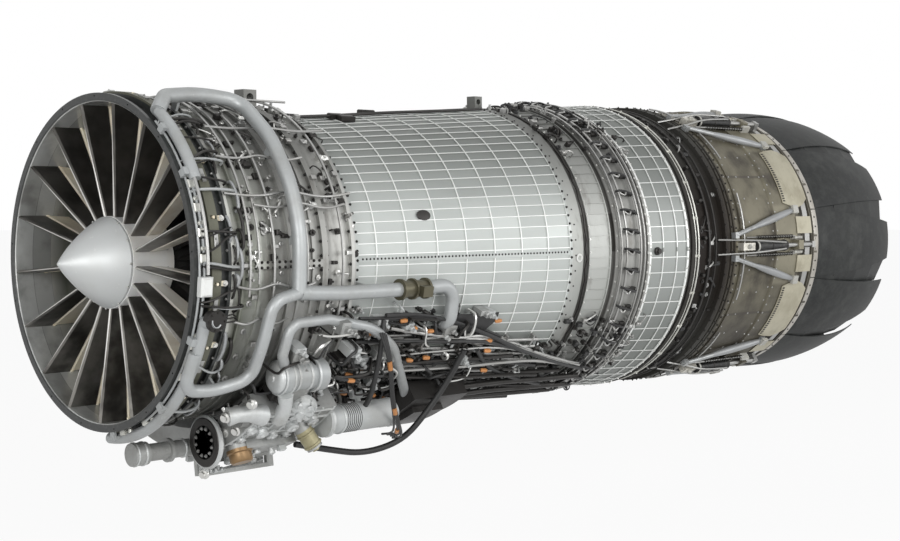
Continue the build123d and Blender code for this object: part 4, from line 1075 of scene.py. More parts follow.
@dataclass
class FanCaseDress(Dress):
    """Flange bolts, exit vanes, spindle pads, thin tubes and fittings of the fan case."""

    seed: int = 11
    vanes: int = 54
    stagger: float = 50.0

    def build(self) -> None:
        """Add the bolts of each flange, the split line's bolts and the small tubes."""
        rows = [
            ring_bolts(0.162, 0.590, 72, 0.0045, 2.5, True, False),
            ring_bolts(0.548, 0.581, 72, 0.0045, 2.5, True),
            ring_bolts(0.572, 0.581, 72, 0.0045, 2.5, True, False),
            ring_bolts(0.692, 0.568, 60, 0.0045, 1.0, True)]
        stations = np.linspace(0.18, 0.53, 15)
        for side in SPLITS:
            for shift in (-0.9, 0.9):
                rows.append(bolt_head(0.0042, 0.005).seated(stations, side + shift, 0.590))
        self.put("fan_case_bolts", "dark_steel", "steel", *rows)
        self.guide_pads()
        self.exit_vanes()
        self.tubes()

    def exit_vanes(self) -> None:
        """Fixed vanes behind the fan: each frame is turned by the stagger s about the radius.

        Row 1 is aft cos s + along sin s, row 2 is along cos s - aft sin s, row 3 points outwards.
        """
        turns = np.arange(self.vanes) * 360.0 / self.vanes
        frames = outward(turns)
        lean = math.radians(self.stagger)
        aft, along, away = frames[:, 0], frames[:, 1], frames[:, 2]
        turned = np.stack(
            [
                aft * math.cos(lean) + along * math.sin(lean),
                along * math.cos(lean) - aft * math.sin(lean), away],
            axis=1)
        vane = brick(0.095, 0.005, 0.352, 0.1).copies(turned, polar(0.498, turns, 0.208))
        self.put("exit_vanes", "blade_metal", "blade", vane)

    def guide_pads(self) -> None:
        """Rows of small vane-spindle pads between the stiffening rings."""
        turns = np.arange(36) * 10.0 + 3.0
        parts = []
        for x, radius, size in ((0.242, 0.5785, 0.012), (0.372, 0.5775, 0.009), (0.480, 0.5755, 0.010)):
            button = lathe([(size, 0.0), (size, 0.004), (size * 0.55, 0.006), (size * 0.55, 0.012)], 10)
            parts.append(button.seated(x, turns, radius - 0.001))
        self.put("vane_buttons", "steel", "steel", *parts)

    def tubes(self) -> None:
        """Thin tubes and clips that run round and along the case on the port side."""
        tubes = []
        for x, first, last, radius, thick in (
                (0.030, 62.0, 92.0, 0.634, 0.006), (0.222, 20.0, 100.0, 0.604, 0.005),
                (0.262, -60.0, 96.0, 0.600, 0.004), (0.325, 30.0, 118.0, 0.602, 0.005),
                (0.470, 5.0, 96.0, 0.600, 0.005), (0.630, -40.0, 150.0, 0.600, 0.005)):
            tubes.append(hoop(x, radius, thick, first, last))
        for turn, start, end in (
                (52.0, 0.17, 0.54), (66.0, 0.15, 0.70), (70.0, 0.26, 0.66), (38.0, 0.2, 0.72),
                (12.0, 0.18, 0.74), (108.0, 0.17, 0.40), (-14.0, 0.16, 0.7), (96.5, 0.17, 0.5)):
            x = np.linspace(start, end, 5)
            wave = turn + np.array([0.0, 1.5, -1.0, 2.0, 0.0])
            tubes.append(tube(polar(x, wave, 0.606 + 0.004 * (np.arange(5) % 2)), 0.0045))
        self.put("fan_case_tubes", "steel", "steel", *tubes)
        random = np.random.default_rng(self.seed)
        count = 70
        turns = random.uniform(-80.0, 128.0, count)
        x = random.uniform(0.17, 0.70, count)
        small = brick(0.022, 0.016, 0.016).seated(x[:34], turns[:34], 0.586)
        elbow = lathe([(0.007, 0), (0.007, 0.018), (0.005, 0.02), (0.005, 0.028)], 8)
        elbows = elbow.seated(x[34:], turns[34:], 0.584)
        self.put("fan_case_fittings", "steel", "steel", small, elbows)


@dataclass
class DuctDress(Dress):
    """Bolts of the gridded duct's flanges and split line, and its cover plate."""

    def build(self) -> None:
        """Add the bolts, the oval cover, and the brackets and lines on top."""
        start, end = ST.duct_start, ST.duct_end
        rows = [
            ring_bolts(start + 0.006, ST.rib_top(start), 96, 0.004),
            ring_bolts(end - 0.006, ST.rib_top(end), 110, 0.0042),
            ring_bolts(end + 0.020, ST.middle(end) - 0.001, 60, 0.0035, 1.0)]
        x = np.linspace(start + 0.03, end - 0.03, 62)
        for side in SPLITS:
            rows.append(bolt_head(0.0032, 0.003).seated(x, side - 0.42, ST.rib_top(x) - 0.0004))
        self.put("duct_bolts", "dark_steel", "steel", *rows)
        cover = lathe([(0.034, 0.0), (0.034, 0.003), (0.028, 0.005)], 24)
        cover.points[:, 1] *= 0.62
        seat = ST.rib_top(1.083) - 0.0035
        self.put("duct_cover", "dark_steel", "dark", cover.seated(1.083, 73.0, seat))
        turns = np.array([8.0, 12.0, 16.0, 4.0])
        x = np.array([0.80, 1.00, 1.02, 1.22])
        brackets = brick(0.07, 0.03, 0.022).seated(x, turns, ST.rib_top(x) - 0.002)
        lines = [
            tube(
                polar(
                    np.linspace(0.74, 1.8, 5), 10.0 + k * 2.0 + np.array([0, 1, -1, 0.5, 0]),
                    ST.rib_top(np.linspace(0.74, 1.8, 5)) + 0.012),
                0.0045)
            for k in range(2)]
        self.put("duct_top_brackets", "dark_steel", "steel", brackets, *lines)


@dataclass
class FuelBandDress(Dress):
    """Nozzle fittings, feed pipes and bolt rows on the bands behind the duct."""

    count: int = 48

    def build(self) -> None:
        """Add a fitting with its two small feed pipes at each place round the band."""
        turns = np.arange(self.count) * 360.0 / self.count
        radius = float(ST.middle(2.190)) - 0.002
        stem = lathe([(0.008, 0.0), (0.008, 0.016), (0.0105, 0.017), (0.0105, 0.026), (0.006, 0.029)], 8)
        cap = brick(0.034, 0.018, 0.012)
        fittings = [stem.seated(2.190, turns, radius), cap.seated(2.228, turns, radius - 0.001)]
        self.put("spray_fittings", "dark_steel", "steel", *fittings)
        pipes = []
        for x, lift, thick in (
                (2.160, 0.016, 0.0055), (2.250, 0.014, 0.0045), (2.268, 0.020, 0.0035),
                (2.132, 0.012, 0.004)):
            pipes.append(hoop(x, float(ST.middle(x)) + lift - 0.004, thick))
        links = [
            tube(
                via(
                    (2.160, t, radius + 0.018), (2.176, t + 1.6, radius + 0.030),
                    (2.190, t + 0.2, radius + 0.027)),
                0.0038, 6, 3)
            for t in turns]
        self.put("spray_pipes", "steel", "steel", *pipes, *links)
        rows = [
            ring_bolts(2.303, float(ST.middle(2.31)) + 0.001, 96, 0.004, 1.0),
            ring_bolts(2.120, float(ST.middle(2.12)) - 0.007, 60, 0.004),
            ring_bolts(2.567, 0.6595, 96, 0.0038),
            ring_bolts(2.323, float(ST.middle(2.323)) + 0.001, 96, 0.0036, 2.0),
            ring_bolts(1.951, float(ST.middle(1.951)) - 0.0008, 72, 0.0034)]
        self.put("band_bolts", "bright_steel", "steel", *rows)
        sensor = lathe([(0.018, 0.0), (0.018, 0.012), (0.012, 0.016), (0.012, 0.024)], 12)
        places = np.array([90.5, -90.0])
        self.put("sensor_bosses", "dark_steel", "steel", sensor.seated(2.367, places, 0.636))
        port = lathe([(0.018, 0.0), (0.018, 0.010), (0.011, 0.011), (0.009, 0.004)], 20)
        self.put("port_rings", "white_paint", "steel", port.seated(1.885, places + 1.5, 0.608))
        arches = [
            tube(
                via(
                    (2.150, t - 0.9, radius + 0.004), (2.158, t - 0.9, radius + 0.026),
                    (2.232, t + 0.7, radius + 0.028), (2.246, t + 0.7, radius + 0.004)),
                0.0055, 6, 4)
            for t in turns]
        self.put("spray_arches", "black_hose", "dark", *arches)
        random = np.random.default_rng(5)
        waves = np.linspace(-100, 140, 62)
        bead = polar(1.928 + 0.006 * np.sin(waves * 0.9), waves, 0.616 + 0.003 * random.random(62))
        self.put("seal_wave", "dark_steel", "dark", rod(bead, 0.005, 6))


@dataclass
class ExhaustDress(Dress):
    """Bolts, brackets and pipes round the dark exhaust casing and the khaki support."""

    groups: tuple[float, ...] = (30.0, 90.0, 150.0, 210.0, 270.0, 330.0)
    arm_start: tuple[float, float, float] = (2.906, 4.5, 0.676)
    arm_end: tuple[float, float, float] = (3.412, 14.5, 0.670)

    def build(self) -> None:
        """Add the casing's bolts and fittings, the sheet's rivets and the actuators' end fittings."""
        rows = [
            ring_bolts(2.585, 0.646, 84, 0.004, 0.0, True, False), ring_bolts(2.932, 0.6622, 96, 0.0036),
            ring_bolts(2.898, 0.6622, 72, 0.0036, 2.0), ring_bolts(2.853, 0.6622, 72, 0.0036, 1.0)]
        self.put("exhaust_bolts", "dark_steel", "steel", *rows)
        lines = [hoop(2.745, 0.645, 0.006), hoop(2.790, 0.648, 0.004)]
        turns = np.arange(24) * 15.0 + 5.0
        clips = brick(0.020, 0.014, 0.014).seated(2.745, turns, 0.634)
        knobs = lathe([(0.009, 0.0), (0.009, 0.022), (0.006, 0.025)], 8).seated(2.705, turns + 6, 0.634)
        self.put("exhaust_pipes", "dark_steel", "dark", *lines, clips, knobs)
        bright = [hoop(2.652, 0.6545, 0.0042), hoop(2.634, 0.6525, 0.0030)]
        posts = brick(0.034, 0.012, 0.020).seated(2.643, turns - 2.0, 0.638)
        nuts = ring_bolts(2.643, 0.6575, 24, 0.0052, 3.0)
        self.put("igniter_lines", "pale_steel", "steel", *bright, posts, nuts)
        rivets = []
        for x, radius, count in (
                (2.960, 0.648, 60), (3.000, 0.648, 60), (3.060, 0.6485, 36), (3.160, 0.649, 36),
                (3.245, 0.6498, 60), (3.272, 0.657, 90)):
            head = lathe([(0.0045, 0.0), (0.004, 0.0018), (0.0015, 0.0026)], 8)
            turns = np.arange(count) * 360.0 / count
            rivets.append(head.seated(x, turns, radius - 0.0002))
        self.put("sheet_rivets", "steel", "khaki", *rivets)
        self.aft_panels()
        self.actuator_trim()

    def aft_panels(self) -> None:
        """Cream sheet segments between the actuator groups and the small panels inside each group."""
        sheets, ribs, small = [], [], []
        top = 0.6618
        for centre in self.groups:
            middle = centre + 30.0
            outline = [
                (x, top, middle - half, middle + half)
                for x, half in ((3.352, 12.2), (3.40, 13.4), (3.475, 14.2), (3.520, 13.0), (3.562, 10.4))]
            sheets.append(plate(outline, 0.0030, 14))
            turns = middle + np.linspace(-11.4, 11.4, 22)
            ribs.append(brick(0.016, 0.0065, 0.0030, 0.3).seated(3.366, turns, top - 0.0005))
            for side in (-1.0, 1.0):
                near, far = sorted((centre + 4.6 * side, centre + 11.8 * side))
                small.append(plate([(x, top, near, far) for x in (3.436, 3.50, 3.562)], 0.0028, 5))
        self.put("cream_sheets", "cream_sheet", "khaki", *sheets, *small)
        self.put("sheet_slots", "dark_steel", "dark", *ribs)

    def actuator_trim(self) -> None:
        """Spindle-shaped arms, springs, end blocks, lugs and hydraulic lines at the six actuator groups."""
        blocks, lugs, tubes, springs, arms = [], [], [], [], []
        share = np.linspace(0.34, 0.97, 9)
        swell = 0.0112 + 0.0072 * np.sin(np.pi * np.linspace(0.0, 1.0, 9)) ** 0.8
        for centre in self.groups:
            for side in (-1.0, 1.0):
                ends = [
                    polar(x, centre + side * turn, radius)
                    for x, turn, radius in (self.arm_start, self.arm_end)]
                arms.append(rod(ends[0] + share[:, None] * (ends[1] - ends[0]), swell, 12))
                lugs.append(brick(0.040, 0.040, 0.016).seated(3.412, centre + 14.5 * side, 0.6735))
                blocks.append(brick(0.060, 0.014, 0.036).seated(3.405, centre + 2.9 * side, 0.657))
                springs.append(coil(3.070, 3.372, centre + 3.55 * side, 0.676, 0.0075, 0.0022, 15))
                tubes.append(rod(polar(np.linspace(2.99, 3.39, 3), centre + 3.55 * side, 0.676), 0.0035))
                tubes.append(
                    tube(
                        via(
                            (2.80, centre + 3.0 * side, 0.652), (2.95, centre + 2.6 * side, 0.682),
                            (3.05, centre + 2.2 * side, 0.710), (3.26, centre + 1.2 * side, 0.712)),
                        0.0042, steps=5))
            tubes.append(hoop(2.99, 0.664, 0.0045, centre - 22.0, centre + 22.0))
            lugs.append(bolt_head(0.010, 0.012).seated(2.985, centre, 0.696))
            lugs.append(collar(0.0285, 0.010).seated(3.044, centre, 0.684, axial))
            springs.append(collar(0.0275, 0.012).seated(3.275, centre, 0.684, axial))
            springs.append(collar(0.0275, 0.008).seated(3.160, centre, 0.684, axial))
        self.put("guide_cheeks", "white_strut", "steel", *blocks)
        self.put("strut_lugs", "white_strut", "steel", *lugs)
        self.put("actuator_lines", "steel", "steel", *tubes)
        self.put("actuator_springs", "dark_steel", "dark", *springs)
        self.put("actuator_arms", "strut_grey", "steel", *arms)


@dataclass
class NozzleDress(Dress):
    """Rounded nose strip, hinge bolts and root seal that ride on each petal."""

    petals: int = 12
    arc: tuple[tuple[float, float], ...] = ((3.618, 0.652), (3.960, 0.671), (4.390, 0.599))

    def skin(self, x: Array) -> Array:
        """Outer radius of a petal: the circle through the arc's three points, (x-a)^2 + (r-b)^2 = c^2."""
        points = np.array(self.arc)
        rows = 2 * (points[1:] - points[0])
        right = (points[1:] ** 2).sum(1) - (points[0] ** 2).sum()
        centre = np.linalg.solve(rows, right)
        reach = np.hypot(*(points[0] - centre))
        return centre[1] + np.sqrt(reach ** 2 - (np.asarray(x) - centre[0]) ** 2)

    def build(self) -> None:
        """Add the pieces to each petal."""
        x = np.linspace(3.622, 3.800, 5)
        for index in range(self.petals):
            turn = index * 30.0
            name, body = f"{index + 1:02d}", f"petal_{index + 1:02d}"
            nose = plate(
                [
                    (3.5890, 0.6500, turn - 14.8, turn + 14.8), (3.5925, 0.6552, turn - 14.8, turn + 14.8),
                    (3.6180, 0.6552, turn - 14.8, turn + 14.8), (3.6300, 0.6535, turn - 14.8, turn + 14.8)],
                0.0026, 16)
            self.put(f"petal_nose_{name}", "nozzle_steel", "steel", nose, body=body)
            outline = [
                (a, r - 0.0082, turn + 15.0 - half, turn + 15.0 + half)
                for a, r, half in zip(x, self.skin(x), (1.6, 2.0, 2.4, 2.8, 3.2))]
            seal = plate(outline, 0.0018, 4)
            straps = turn + np.array([-11.5, -7.4, 7.4, 11.5])
            rivets = bolt_head(0.0034, 0.0026).seated(3.606, straps, 0.6552)
            self.put(f"petal_seal_{name}", "petal_skin", "petal", seal, body=body)
            self.put(f"petal_bolts_{name}", "dark_steel", "steel", rivets, body=body)


@dataclass
class AccessoryDress(Dress):
    """The crowded lower port side: tubes, wiring, boxes, hoses and fittings."""

    seed: int = 29

    def build(self) -> None:
        """Add the tubes, then the wiring, boxes, hoses and coloured fittings."""
        random = np.random.default_rng(self.seed)
        self.long_tubes(random)
        self.short_tubes(random)
        self.boxes(random)
        self.hoses()
        self.gearbox_trim()

    def long_tubes(self, random: np.random.Generator) -> None:
        """Bundles along the duct: each tube wanders a little in angle as x grows."""
        for name, finish, count, low, high, thick in (
                ("side_tubes", "steel", 9, 112.0, 150.0, 0.0065),
                ("under_tubes", "dark_steel", 12, 125.0, 185.0, 0.008),
                ("wire_bundle", "black_hose", 6, 108.0, 140.0, 0.007)):
            parts = []
            for _ in range(count):
                start, end = random.uniform(0.72, 0.95), random.uniform(1.5, 2.12)
                x = np.linspace(start, end, 7)
                turn = random.uniform(low, high) + np.cumsum(random.uniform(-2.2, 2.2, 7))
                turn = np.maximum(turn, self.top_edge(x))
                lift = random.uniform(0.010, 0.055) + random.uniform(-0.006, 0.006, 7)
                radius = np.where(x < ST.duct_end, ST.rib_top(x), ST.middle(x) + 0.004) + lift
                parts.append(tube(polar(x, turn, radius), thick * random.uniform(0.7, 1.2), 7, 5))
            self.put(name, finish, "steel", *parts)

    def top_edge(self, x: Array) -> Array:
        """Angle above which no tube runs: the bundle's top edge drops towards the rear."""
        return np.interp(x, [0.70, 1.20, 1.45, 1.75, 2.10], [106.0, 113.0, 121.0, 131.0, 139.0])

    def short_tubes(self, random: np.random.Generator) -> None:
        """Short bent tubes between fittings, over the gearbox and behind it."""
        bright, dark, black = [], [], []
        for index in range(84):
            x0 = random.uniform(0.34, 1.36)
            a0 = random.uniform(110.0, 172.0)
            base = 0.60 if x0 < ST.frame_end else float(ST.rib_top(x0)) + 0.01
            high = base + random.uniform(0.03, 0.10 if x0 < 1.0 else 0.06)
            step_x, step_a = random.uniform(-0.14, 0.14), random.uniform(-9.0, 9.0)
            knots = via(
                (x0, a0, base), (x0, a0, high), (x0 + step_x, a0 + step_a * 0.3, high + 0.01),
                (x0 + step_x, a0 + step_a, high), (x0 + step_x * 1.2, a0 + step_a, base))
            group = (bright, dark, black)[index % 3]
            group.append(tube(knots, random.uniform(0.0035, 0.0075), 6, 5))
        for name, finish, parts in (
                ("short_pipes_bright", "bright_steel", bright), ("short_pipes_dark", "dark_steel", dark),
                ("short_wires", "black_hose", black)):
            self.put(name, finish, "steel", *parts)

    def boxes(self, random: np.random.Generator) -> None:
        """Small castings, valve bodies and brackets among the tubes, with bolts and coloured caps."""
        stem = lathe([(0.011, 0), (0.011, 0.014), (0.007, 0.018), (0.007, 0.03)], 8)
        for name, finish, count in (
                ("valve_blocks", "cast_grey", 26), ("dark_brackets", "dark_steel", 30),
                ("pale_units", "grey_enamel", 14)):
            parts = []
            for _ in range(count):
                x = random.uniform(0.40, 1.45)
                turn = random.uniform(106.0, 168.0)
                base = 0.61 if x < ST.frame_end else float(ST.rib_top(x)) - 0.001
                tall = random.uniform(0.02, 0.075)
                long, wide = random.uniform(0.02, 0.07), random.uniform(0.018, 0.05)
                parts.append(brick(long, wide, tall, 0.12).seated(x, turn, base))
                parts.append(stem.seated(x, turn, base + tall - 0.002))
            self.put(name, finish, "casting", *parts)
        turns = random.uniform(112.0, 160.0, 22)
        x = random.uniform(0.55, 1.5, 22)
        plug = lathe([(0.007, 0.0), (0.009, 0.004), (0.009, 0.02), (0.006, 0.028)], 8)
        base = np.where(x < ST.frame_end, 0.66, ST.rib_top(x) + 0.045)
        tilted = facing(outward(turns)[:, 2] * 0.6 + np.array([1.0, 0.0, 0.3]))
        self.put("orange_plugs", "orange_fitting", "bronze", plug.copies(tilted, polar(x, turns, base)))

    def hoses(self) -> None:
        """Black hoses: the low loop behind the gearbox and the lines that climb to the port side."""
        low = via(
            (0.72, 164.0, 0.735), (0.86, 163.0, 0.775), (1.02, 162.0, 0.815), (1.16, 156.0, 0.80),
            (1.24, 148.0, 0.725), (1.30, 138.0, 0.66), (1.32, 126.0, 0.63))
        climb = via(
            (0.90, 150.0, 0.70), (0.88, 140.0, 0.70), (0.85, 128.0, 0.67), (0.84, 118.0, 0.645),
            (0.86, 112.0, 0.60))
        self.put("black_hoses", "black_hose", "dark", tube(low, 0.0125, 10, 8), tube(climb, 0.010, 10, 8))
        skin = float(ST.rib_top(1.35)) + 0.034
        wing = plate(
            [
                (1.225, skin, 111.3, 113.5), (1.300, skin, 111.6, 121.0), (1.352, skin, 111.8, 124.8),
                (1.457, skin, 111.8, 115.0)],
            0.004, 6)
        posts = brick(0.03, 0.012, 0.034).seated(
            np.array([1.245, 1.435]), np.array([112.5, 113.0]), skin - 0.034)
        arm = tube(
            polar([1.395, 1.52, 1.78, 2.00], [126.5, 137.0, 147.0, 154.0], [0.630, 0.628, 0.642, 0.650]),
            0.009, 8, 6)
        self.put("port_bracket", "black_hose", "dark", wing, posts, arm)

    def gearbox_trim(self) -> None:
        """Bolts round the drive pad, the dark pad face and the amber cap."""
        centre = via(DRIVE_PAD)
        ring = np.arange(12) * 30.0 + 15.0
        circle = np.stack(
            [np.zeros(12), 0.050 * np.sin(np.radians(ring)), 0.050 * np.cos(np.radians(ring))], -1)
        bolts = bolt_head(0.005, 0.006).copies(FORWARD, centre + circle)
        self.put("pad_bolts", "steel", "steel", bolts)
        face = lathe([(0.090, -0.010), (0.090, 0.0), (0.087, 0.003), (0.062, 0.003), (0.060, 0.0)], 40)
        self.put("pad_face", "dark_steel", "dark", face.copies(FORWARD, centre))
        cap = lathe([(0.048, 0.0), (0.048, 0.012), (0.042, 0.016), (0.042, 0.042), (0.036, 0.050)], 28)
        self.put("amber_cap", "amber_cap", "bronze", cap.seated(0.41, 158.0, 0.735))


@dataclass(frozen=True)
class Patch:
    """An area of the casing that small fittings are scattered over."""

    name: str
    count: int
    x: tuple[float, float]
    turn: tuple[float, float]
    tall: float
    finishes: tuple[str, ...] = ("dark_steel", "steel", "dark_steel", "bright_steel")


@dataclass
class Clutter(Dress):
    """Small blocks, capped stems and bent pipes that crowd the casing between the large units."""

    seed: int = 41
    patches: tuple[Patch, ...] = (
        Patch("fan_top", 130, (0.17, 0.54), (-60.0, 98.0), 0.026),
        Patch("fan_frame", 60, (0.58, 0.73), (-60.0, 112.0), 0.030),
        Patch(
            "band_top", 190, (1.90, 2.34), (-80.0, 50.0), 0.034,
            ("dark_steel", "dark_steel", "black_hose", "steel")),
        Patch(
            "band_low", 150, (1.88, 2.34), (116.0, 172.0), 0.034,
            ("dark_steel", "steel", "black_hose", "steel")),
        Patch("band_far", 90, (1.90, 2.34), (185.0, 280.0), 0.024),
        Patch(
            "exhaust", 110, (2.68, 2.84), (0.0, 360.0), 0.016,
            ("dark_steel", "black_hose", "dark_steel", "steel")),
        Patch(
            "belly", 170, (0.72, 1.26), (108.0, 168.0), 0.052,
            ("dark_steel", "steel", "silver_casting", "black_hose")),
        Patch(
            "belly_aft", 120, (1.24, 1.84), (127.0, 168.0), 0.045,
            ("dark_steel", "steel", "silver_casting", "black_hose")),
        Patch("belly_far", 60, (0.80, 1.70), (172.0, 215.0), 0.030))

    def build(self) -> None:
        """Scatter every patch, one object for each of its finishes."""
        random = np.random.default_rng(self.seed)
        for patch in self.patches:
            for index, finish in enumerate(patch.finishes):
                shape = self.scatter(random, patch, patch.count // len(patch.finishes))
                self.put(f"{patch.name}_{index + 1}", finish, "steel", shape)

    def scatter(self, random: np.random.Generator, patch: Patch, count: int) -> Shape:
        """Fittings over a patch.

        Args:
            random: seeded source of the places and sizes.
            patch: area, height and count of the fittings.
            count: number of fittings.

        Returns:
            The fittings as one shape: blocks on half of the places, stems on the others, and a bent pipe
            at a third of them.
        """
        x = random.uniform(*patch.x, count)
        turns = random.uniform(*patch.turn, count)
        base = ST.skin(x) - 0.002
        parts = []
        for start in range(3):
            pick = slice(start, count, 6)
            frames, places = outward(turns[pick]), polar(x[pick], turns[pick], base[pick])
            long = random.uniform(0.014, 0.034)
            wide = random.uniform(0.010, 0.024)
            tall = random.uniform(0.4, 0.9) * patch.tall
            parts.append(brick(long, wide, tall, 0.18).copies(frames, places))
            parts.append(
                brick(wide * 0.7, long * 0.5, tall * 1.25, 0.25).copies(
                    frames, places + frames[:, 0] * wide * 0.3))
            pick = slice(start + 3, count, 6)
            frames, places = outward(turns[pick]), polar(x[pick], turns[pick], base[pick])
            size = random.uniform(0.006, 0.011)
            stem = lathe(
                [
                    (size, 0.0), (size, 0.4 * tall), (size * 1.3, 0.42 * tall), (size * 1.3, 0.6 * tall),
                    (size * 0.6, 0.65 * tall), (size * 0.6, tall)],
                8)
            parts.append(stem.copies(frames, places))
        for index in range(count // 3):
            long, swing = random.uniform(-0.06, 0.06), random.uniform(-5.0, 5.0)
            high = random.uniform(0.5, 1.0) * patch.tall
            steps = np.array([0.0, 0.0, 1.0, 1.0])
            path = polar(
                x[index] + long * steps, turns[index] + swing * steps,
                base[index] + high * np.array([0.0, 1.0, 1.1, 0.0]))
            parts.append(tube(path, random.uniform(0.0025, 0.005), 6, 4))
        return Shape.joined(parts)


@dataclass
class CastingDress(Dress):
    """Silver castings, collars, bosses, covers and the wiring of the units under the engine."""

    def build(self) -> None:
        """Add the canister's and generator's collars, the gearbox's bosses and ribs, and the harness."""
        self.collars()
        self.gearbox()
        self.oil_can()
        self.drive_opening()
        self.lip_units()
        self.inlet_pipes()
        self.sump_fittings()
        self.harness()

    def collars(self) -> None:
        """Flange rings round the canister, the generator, the starter and the rear pump; domed canister ends."""
        pale, dark = [], []
        canister, generator = (128.4, 0.648), (147.0, 0.712)
        starter, pump = (174.0, 0.690), (176.0, 0.678)
        for x, (turn, radius), size, width, bolts in (
                (0.403, canister, 0.0630, 0.008, 0), (0.440, canister, 0.0630, 0.007, 0),
                (0.466, canister, 0.0560, 0.010, 0), (0.520, canister, 0.0560, 0.010, 0),
                (0.551, canister, 0.0635, 0.009, 0), (0.712, generator, 0.0640, 0.010, 10),
                (0.770, generator, 0.0580, 0.006, 0), (1.018, generator, 0.0570, 0.012, 0),
                (0.130, starter, 0.0450, 0.008, 8), (0.300, starter, 0.0360, 0.008, 0),
                (0.098, starter, 0.0450, 0.006, 0), (0.712, pump, 0.0600, 0.010, 10),
                (0.840, pump, 0.0480, 0.010, 0)):
            pale.append(collar(size, width, bolts).seated(x, turn, radius, axial))
        for x in np.linspace(0.785, 0.850, 8):
            dark.append(collar(0.0552, 0.003).seated(x, *generator, axial))
        dome = lathe(
            [
                (0.0555, 0.0), (0.0545, 0.006), (0.048, 0.013), (0.034, 0.018), (0.014, 0.020),
                (0.012, 0.026)],
            28)
        pale.append(dome.seated(0.596, *canister, axial))
        ahead = axial(canister[0]) * np.array([[1.0], [-1.0], [-1.0]])
        pale.append(dome.copies(ahead, polar([0.403], *canister)))
        self.put("unit_collars", "silver_casting", "casting", *pale)
        self.put("generator_slots", "dark_steel", "dark", *dark)

    def gearbox(self) -> None:
        """Bosses, ribs, a round ribbed cover and the cast necks on the gearbox."""
        spots = (
            (0.372, 146.0, 0.020, 0.020), (0.380, 152.5, 0.015, 0.016), (0.430, 148.0, 0.024, 0.026),
            (0.472, 143.0, 0.016, 0.018), (0.500, 151.0, 0.021, 0.022), (0.545, 145.5, 0.024, 0.030),
            (0.585, 153.0, 0.017, 0.016), (0.628, 144.0, 0.022, 0.024), (0.660, 151.0, 0.020, 0.020),
            (0.440, 162.0, 0.016, 0.042), (0.520, 166.0, 0.020, 0.044), (0.600, 160.0, 0.018, 0.040),
            (0.400, 198.0, 0.022, 0.020), (0.500, 196.0, 0.026, 0.022), (0.610, 199.0, 0.020, 0.020))
        parts = [boss(size, tall).seated(x, turn, 0.711) for x, turn, size, tall in spots]
        parts += [
            hoop(x, 0.7125, 0.005, 138.5, 205.5, 6)
            for x in (0.356, 0.395, 0.458, 0.520, 0.606, 0.640, 0.694)]
        ribs = np.array([139.5, 143.0, 149.5, 156.0, 188.0, 194.0, 201.0])
        parts.append(brick(0.336, 0.006, 0.010, 0.2).seated(0.525, ribs, 0.709))
        parts.append(
            self.ribbed_cover(
                np.array([-0.55, 0.0, 0.0]) + outward(np.array([138.0]))[0, 2], polar(0.545, 138.5, 0.690)))
        neck = polar([0.240, 0.275, 0.320, 0.380], [140.0, 139.0, 138.5, 140.0], [0.690, 0.695, 0.700, 0.700])
        parts.append(rod(neck, np.array([0.034, 0.027, 0.030, 0.040]), 20))
        trunk = polar(
            [0.425, 0.440, 0.450, 0.455], [131.0, 134.5, 138.0, 141.0], [0.700, 0.712, 0.716, 0.712])
        parts.append(rod(trunk, np.array([0.028, 0.025, 0.029, 0.034]), 20))
        self.put("gearbox_castings", "silver_casting", "casting", *parts)
        caps = [
            lathe([(0.020, 0.0), (0.020, 0.008), (0.013, 0.012), (0.013, 0.020)], 14).copies(
                facing(np.array([[-1.0, -0.2, -0.3]])), polar([x], [turn], [radius]))
            for x, turn, radius in (
                (0.236, 140.0, 0.690), (0.300, 133.5, 0.700), (0.352, 150.0, 0.690), (0.352, 156.0, 0.670),
                (0.340, 168.0, 0.790))]
        self.put("gearbox_caps", "bright_steel", "steel", *caps)

    def ribbed_cover(self, direction: Array, place: Array) -> Shape:
        """Domed round cover with eight radial ribs and bolts round its rim."""
        dome = lathe(
            [
                (0.062, 0.0), (0.062, 0.010), (0.054, 0.012), (0.050, 0.030), (0.036, 0.041),
                (0.016, 0.044), (0.014, 0.052)],
            28)
        turns = np.arange(8) * np.pi / 4
        spokes = np.stack(
            [
                np.stack([np.cos(turns), np.sin(turns), 0 * turns], -1),
                np.stack([-np.sin(turns), np.cos(turns), 0 * turns], -1),
                np.broadcast_to(np.array([0.0, 0.0, 1.0]), (8, 3))],
            axis=1)
        ribs = brick(0.040, 0.005, 0.036, 0.3).copies(spokes, round_places(0.034, 8, 0.008))
        bolts = bolt_head(0.004, 0.004).copies(np.eye(3), round_places(0.0575, 8, 0.010))
        return Shape.joined([dome, ribs, bolts]).copies(facing(direction[None]), place[None])

    def oil_can(self) -> None:
        """Tan sleeve with a stepped end over the slanted oil can."""
        start, end = polar(0.600, 148.0, 0.690), polar(0.660, 150.0, 0.798)
        run = end - start
        sleeve = lathe(
            [
                (0.0325, 0.0), (0.0325, 0.014), (0.0360, 0.016), (0.0360, 0.022), (0.0325, 0.024),
                (0.0325, 0.060), (0.0360, 0.062), (0.0360, 0.068), (0.030, 0.074), (0.014, 0.080),
                (0.014, 0.090)],
            26)
        self.put(
            "oil_can_sleeve", "tan_film", "bronze",
            sleeve.copies(facing(run[None]), (start + 0.36 * run)[None]))

    def drive_opening(self) -> None:
        """Bright clamp ring round the gearbox's front drive."""
        centre = via(DRIVE_PAD)
        ring = lathe([(0.094, -0.018), (0.098, -0.014), (0.098, -0.004), (0.092, 0.0)], 40)
        self.put("drive_clamp", "silver_casting", "casting", ring.copies(FORWARD, centre))

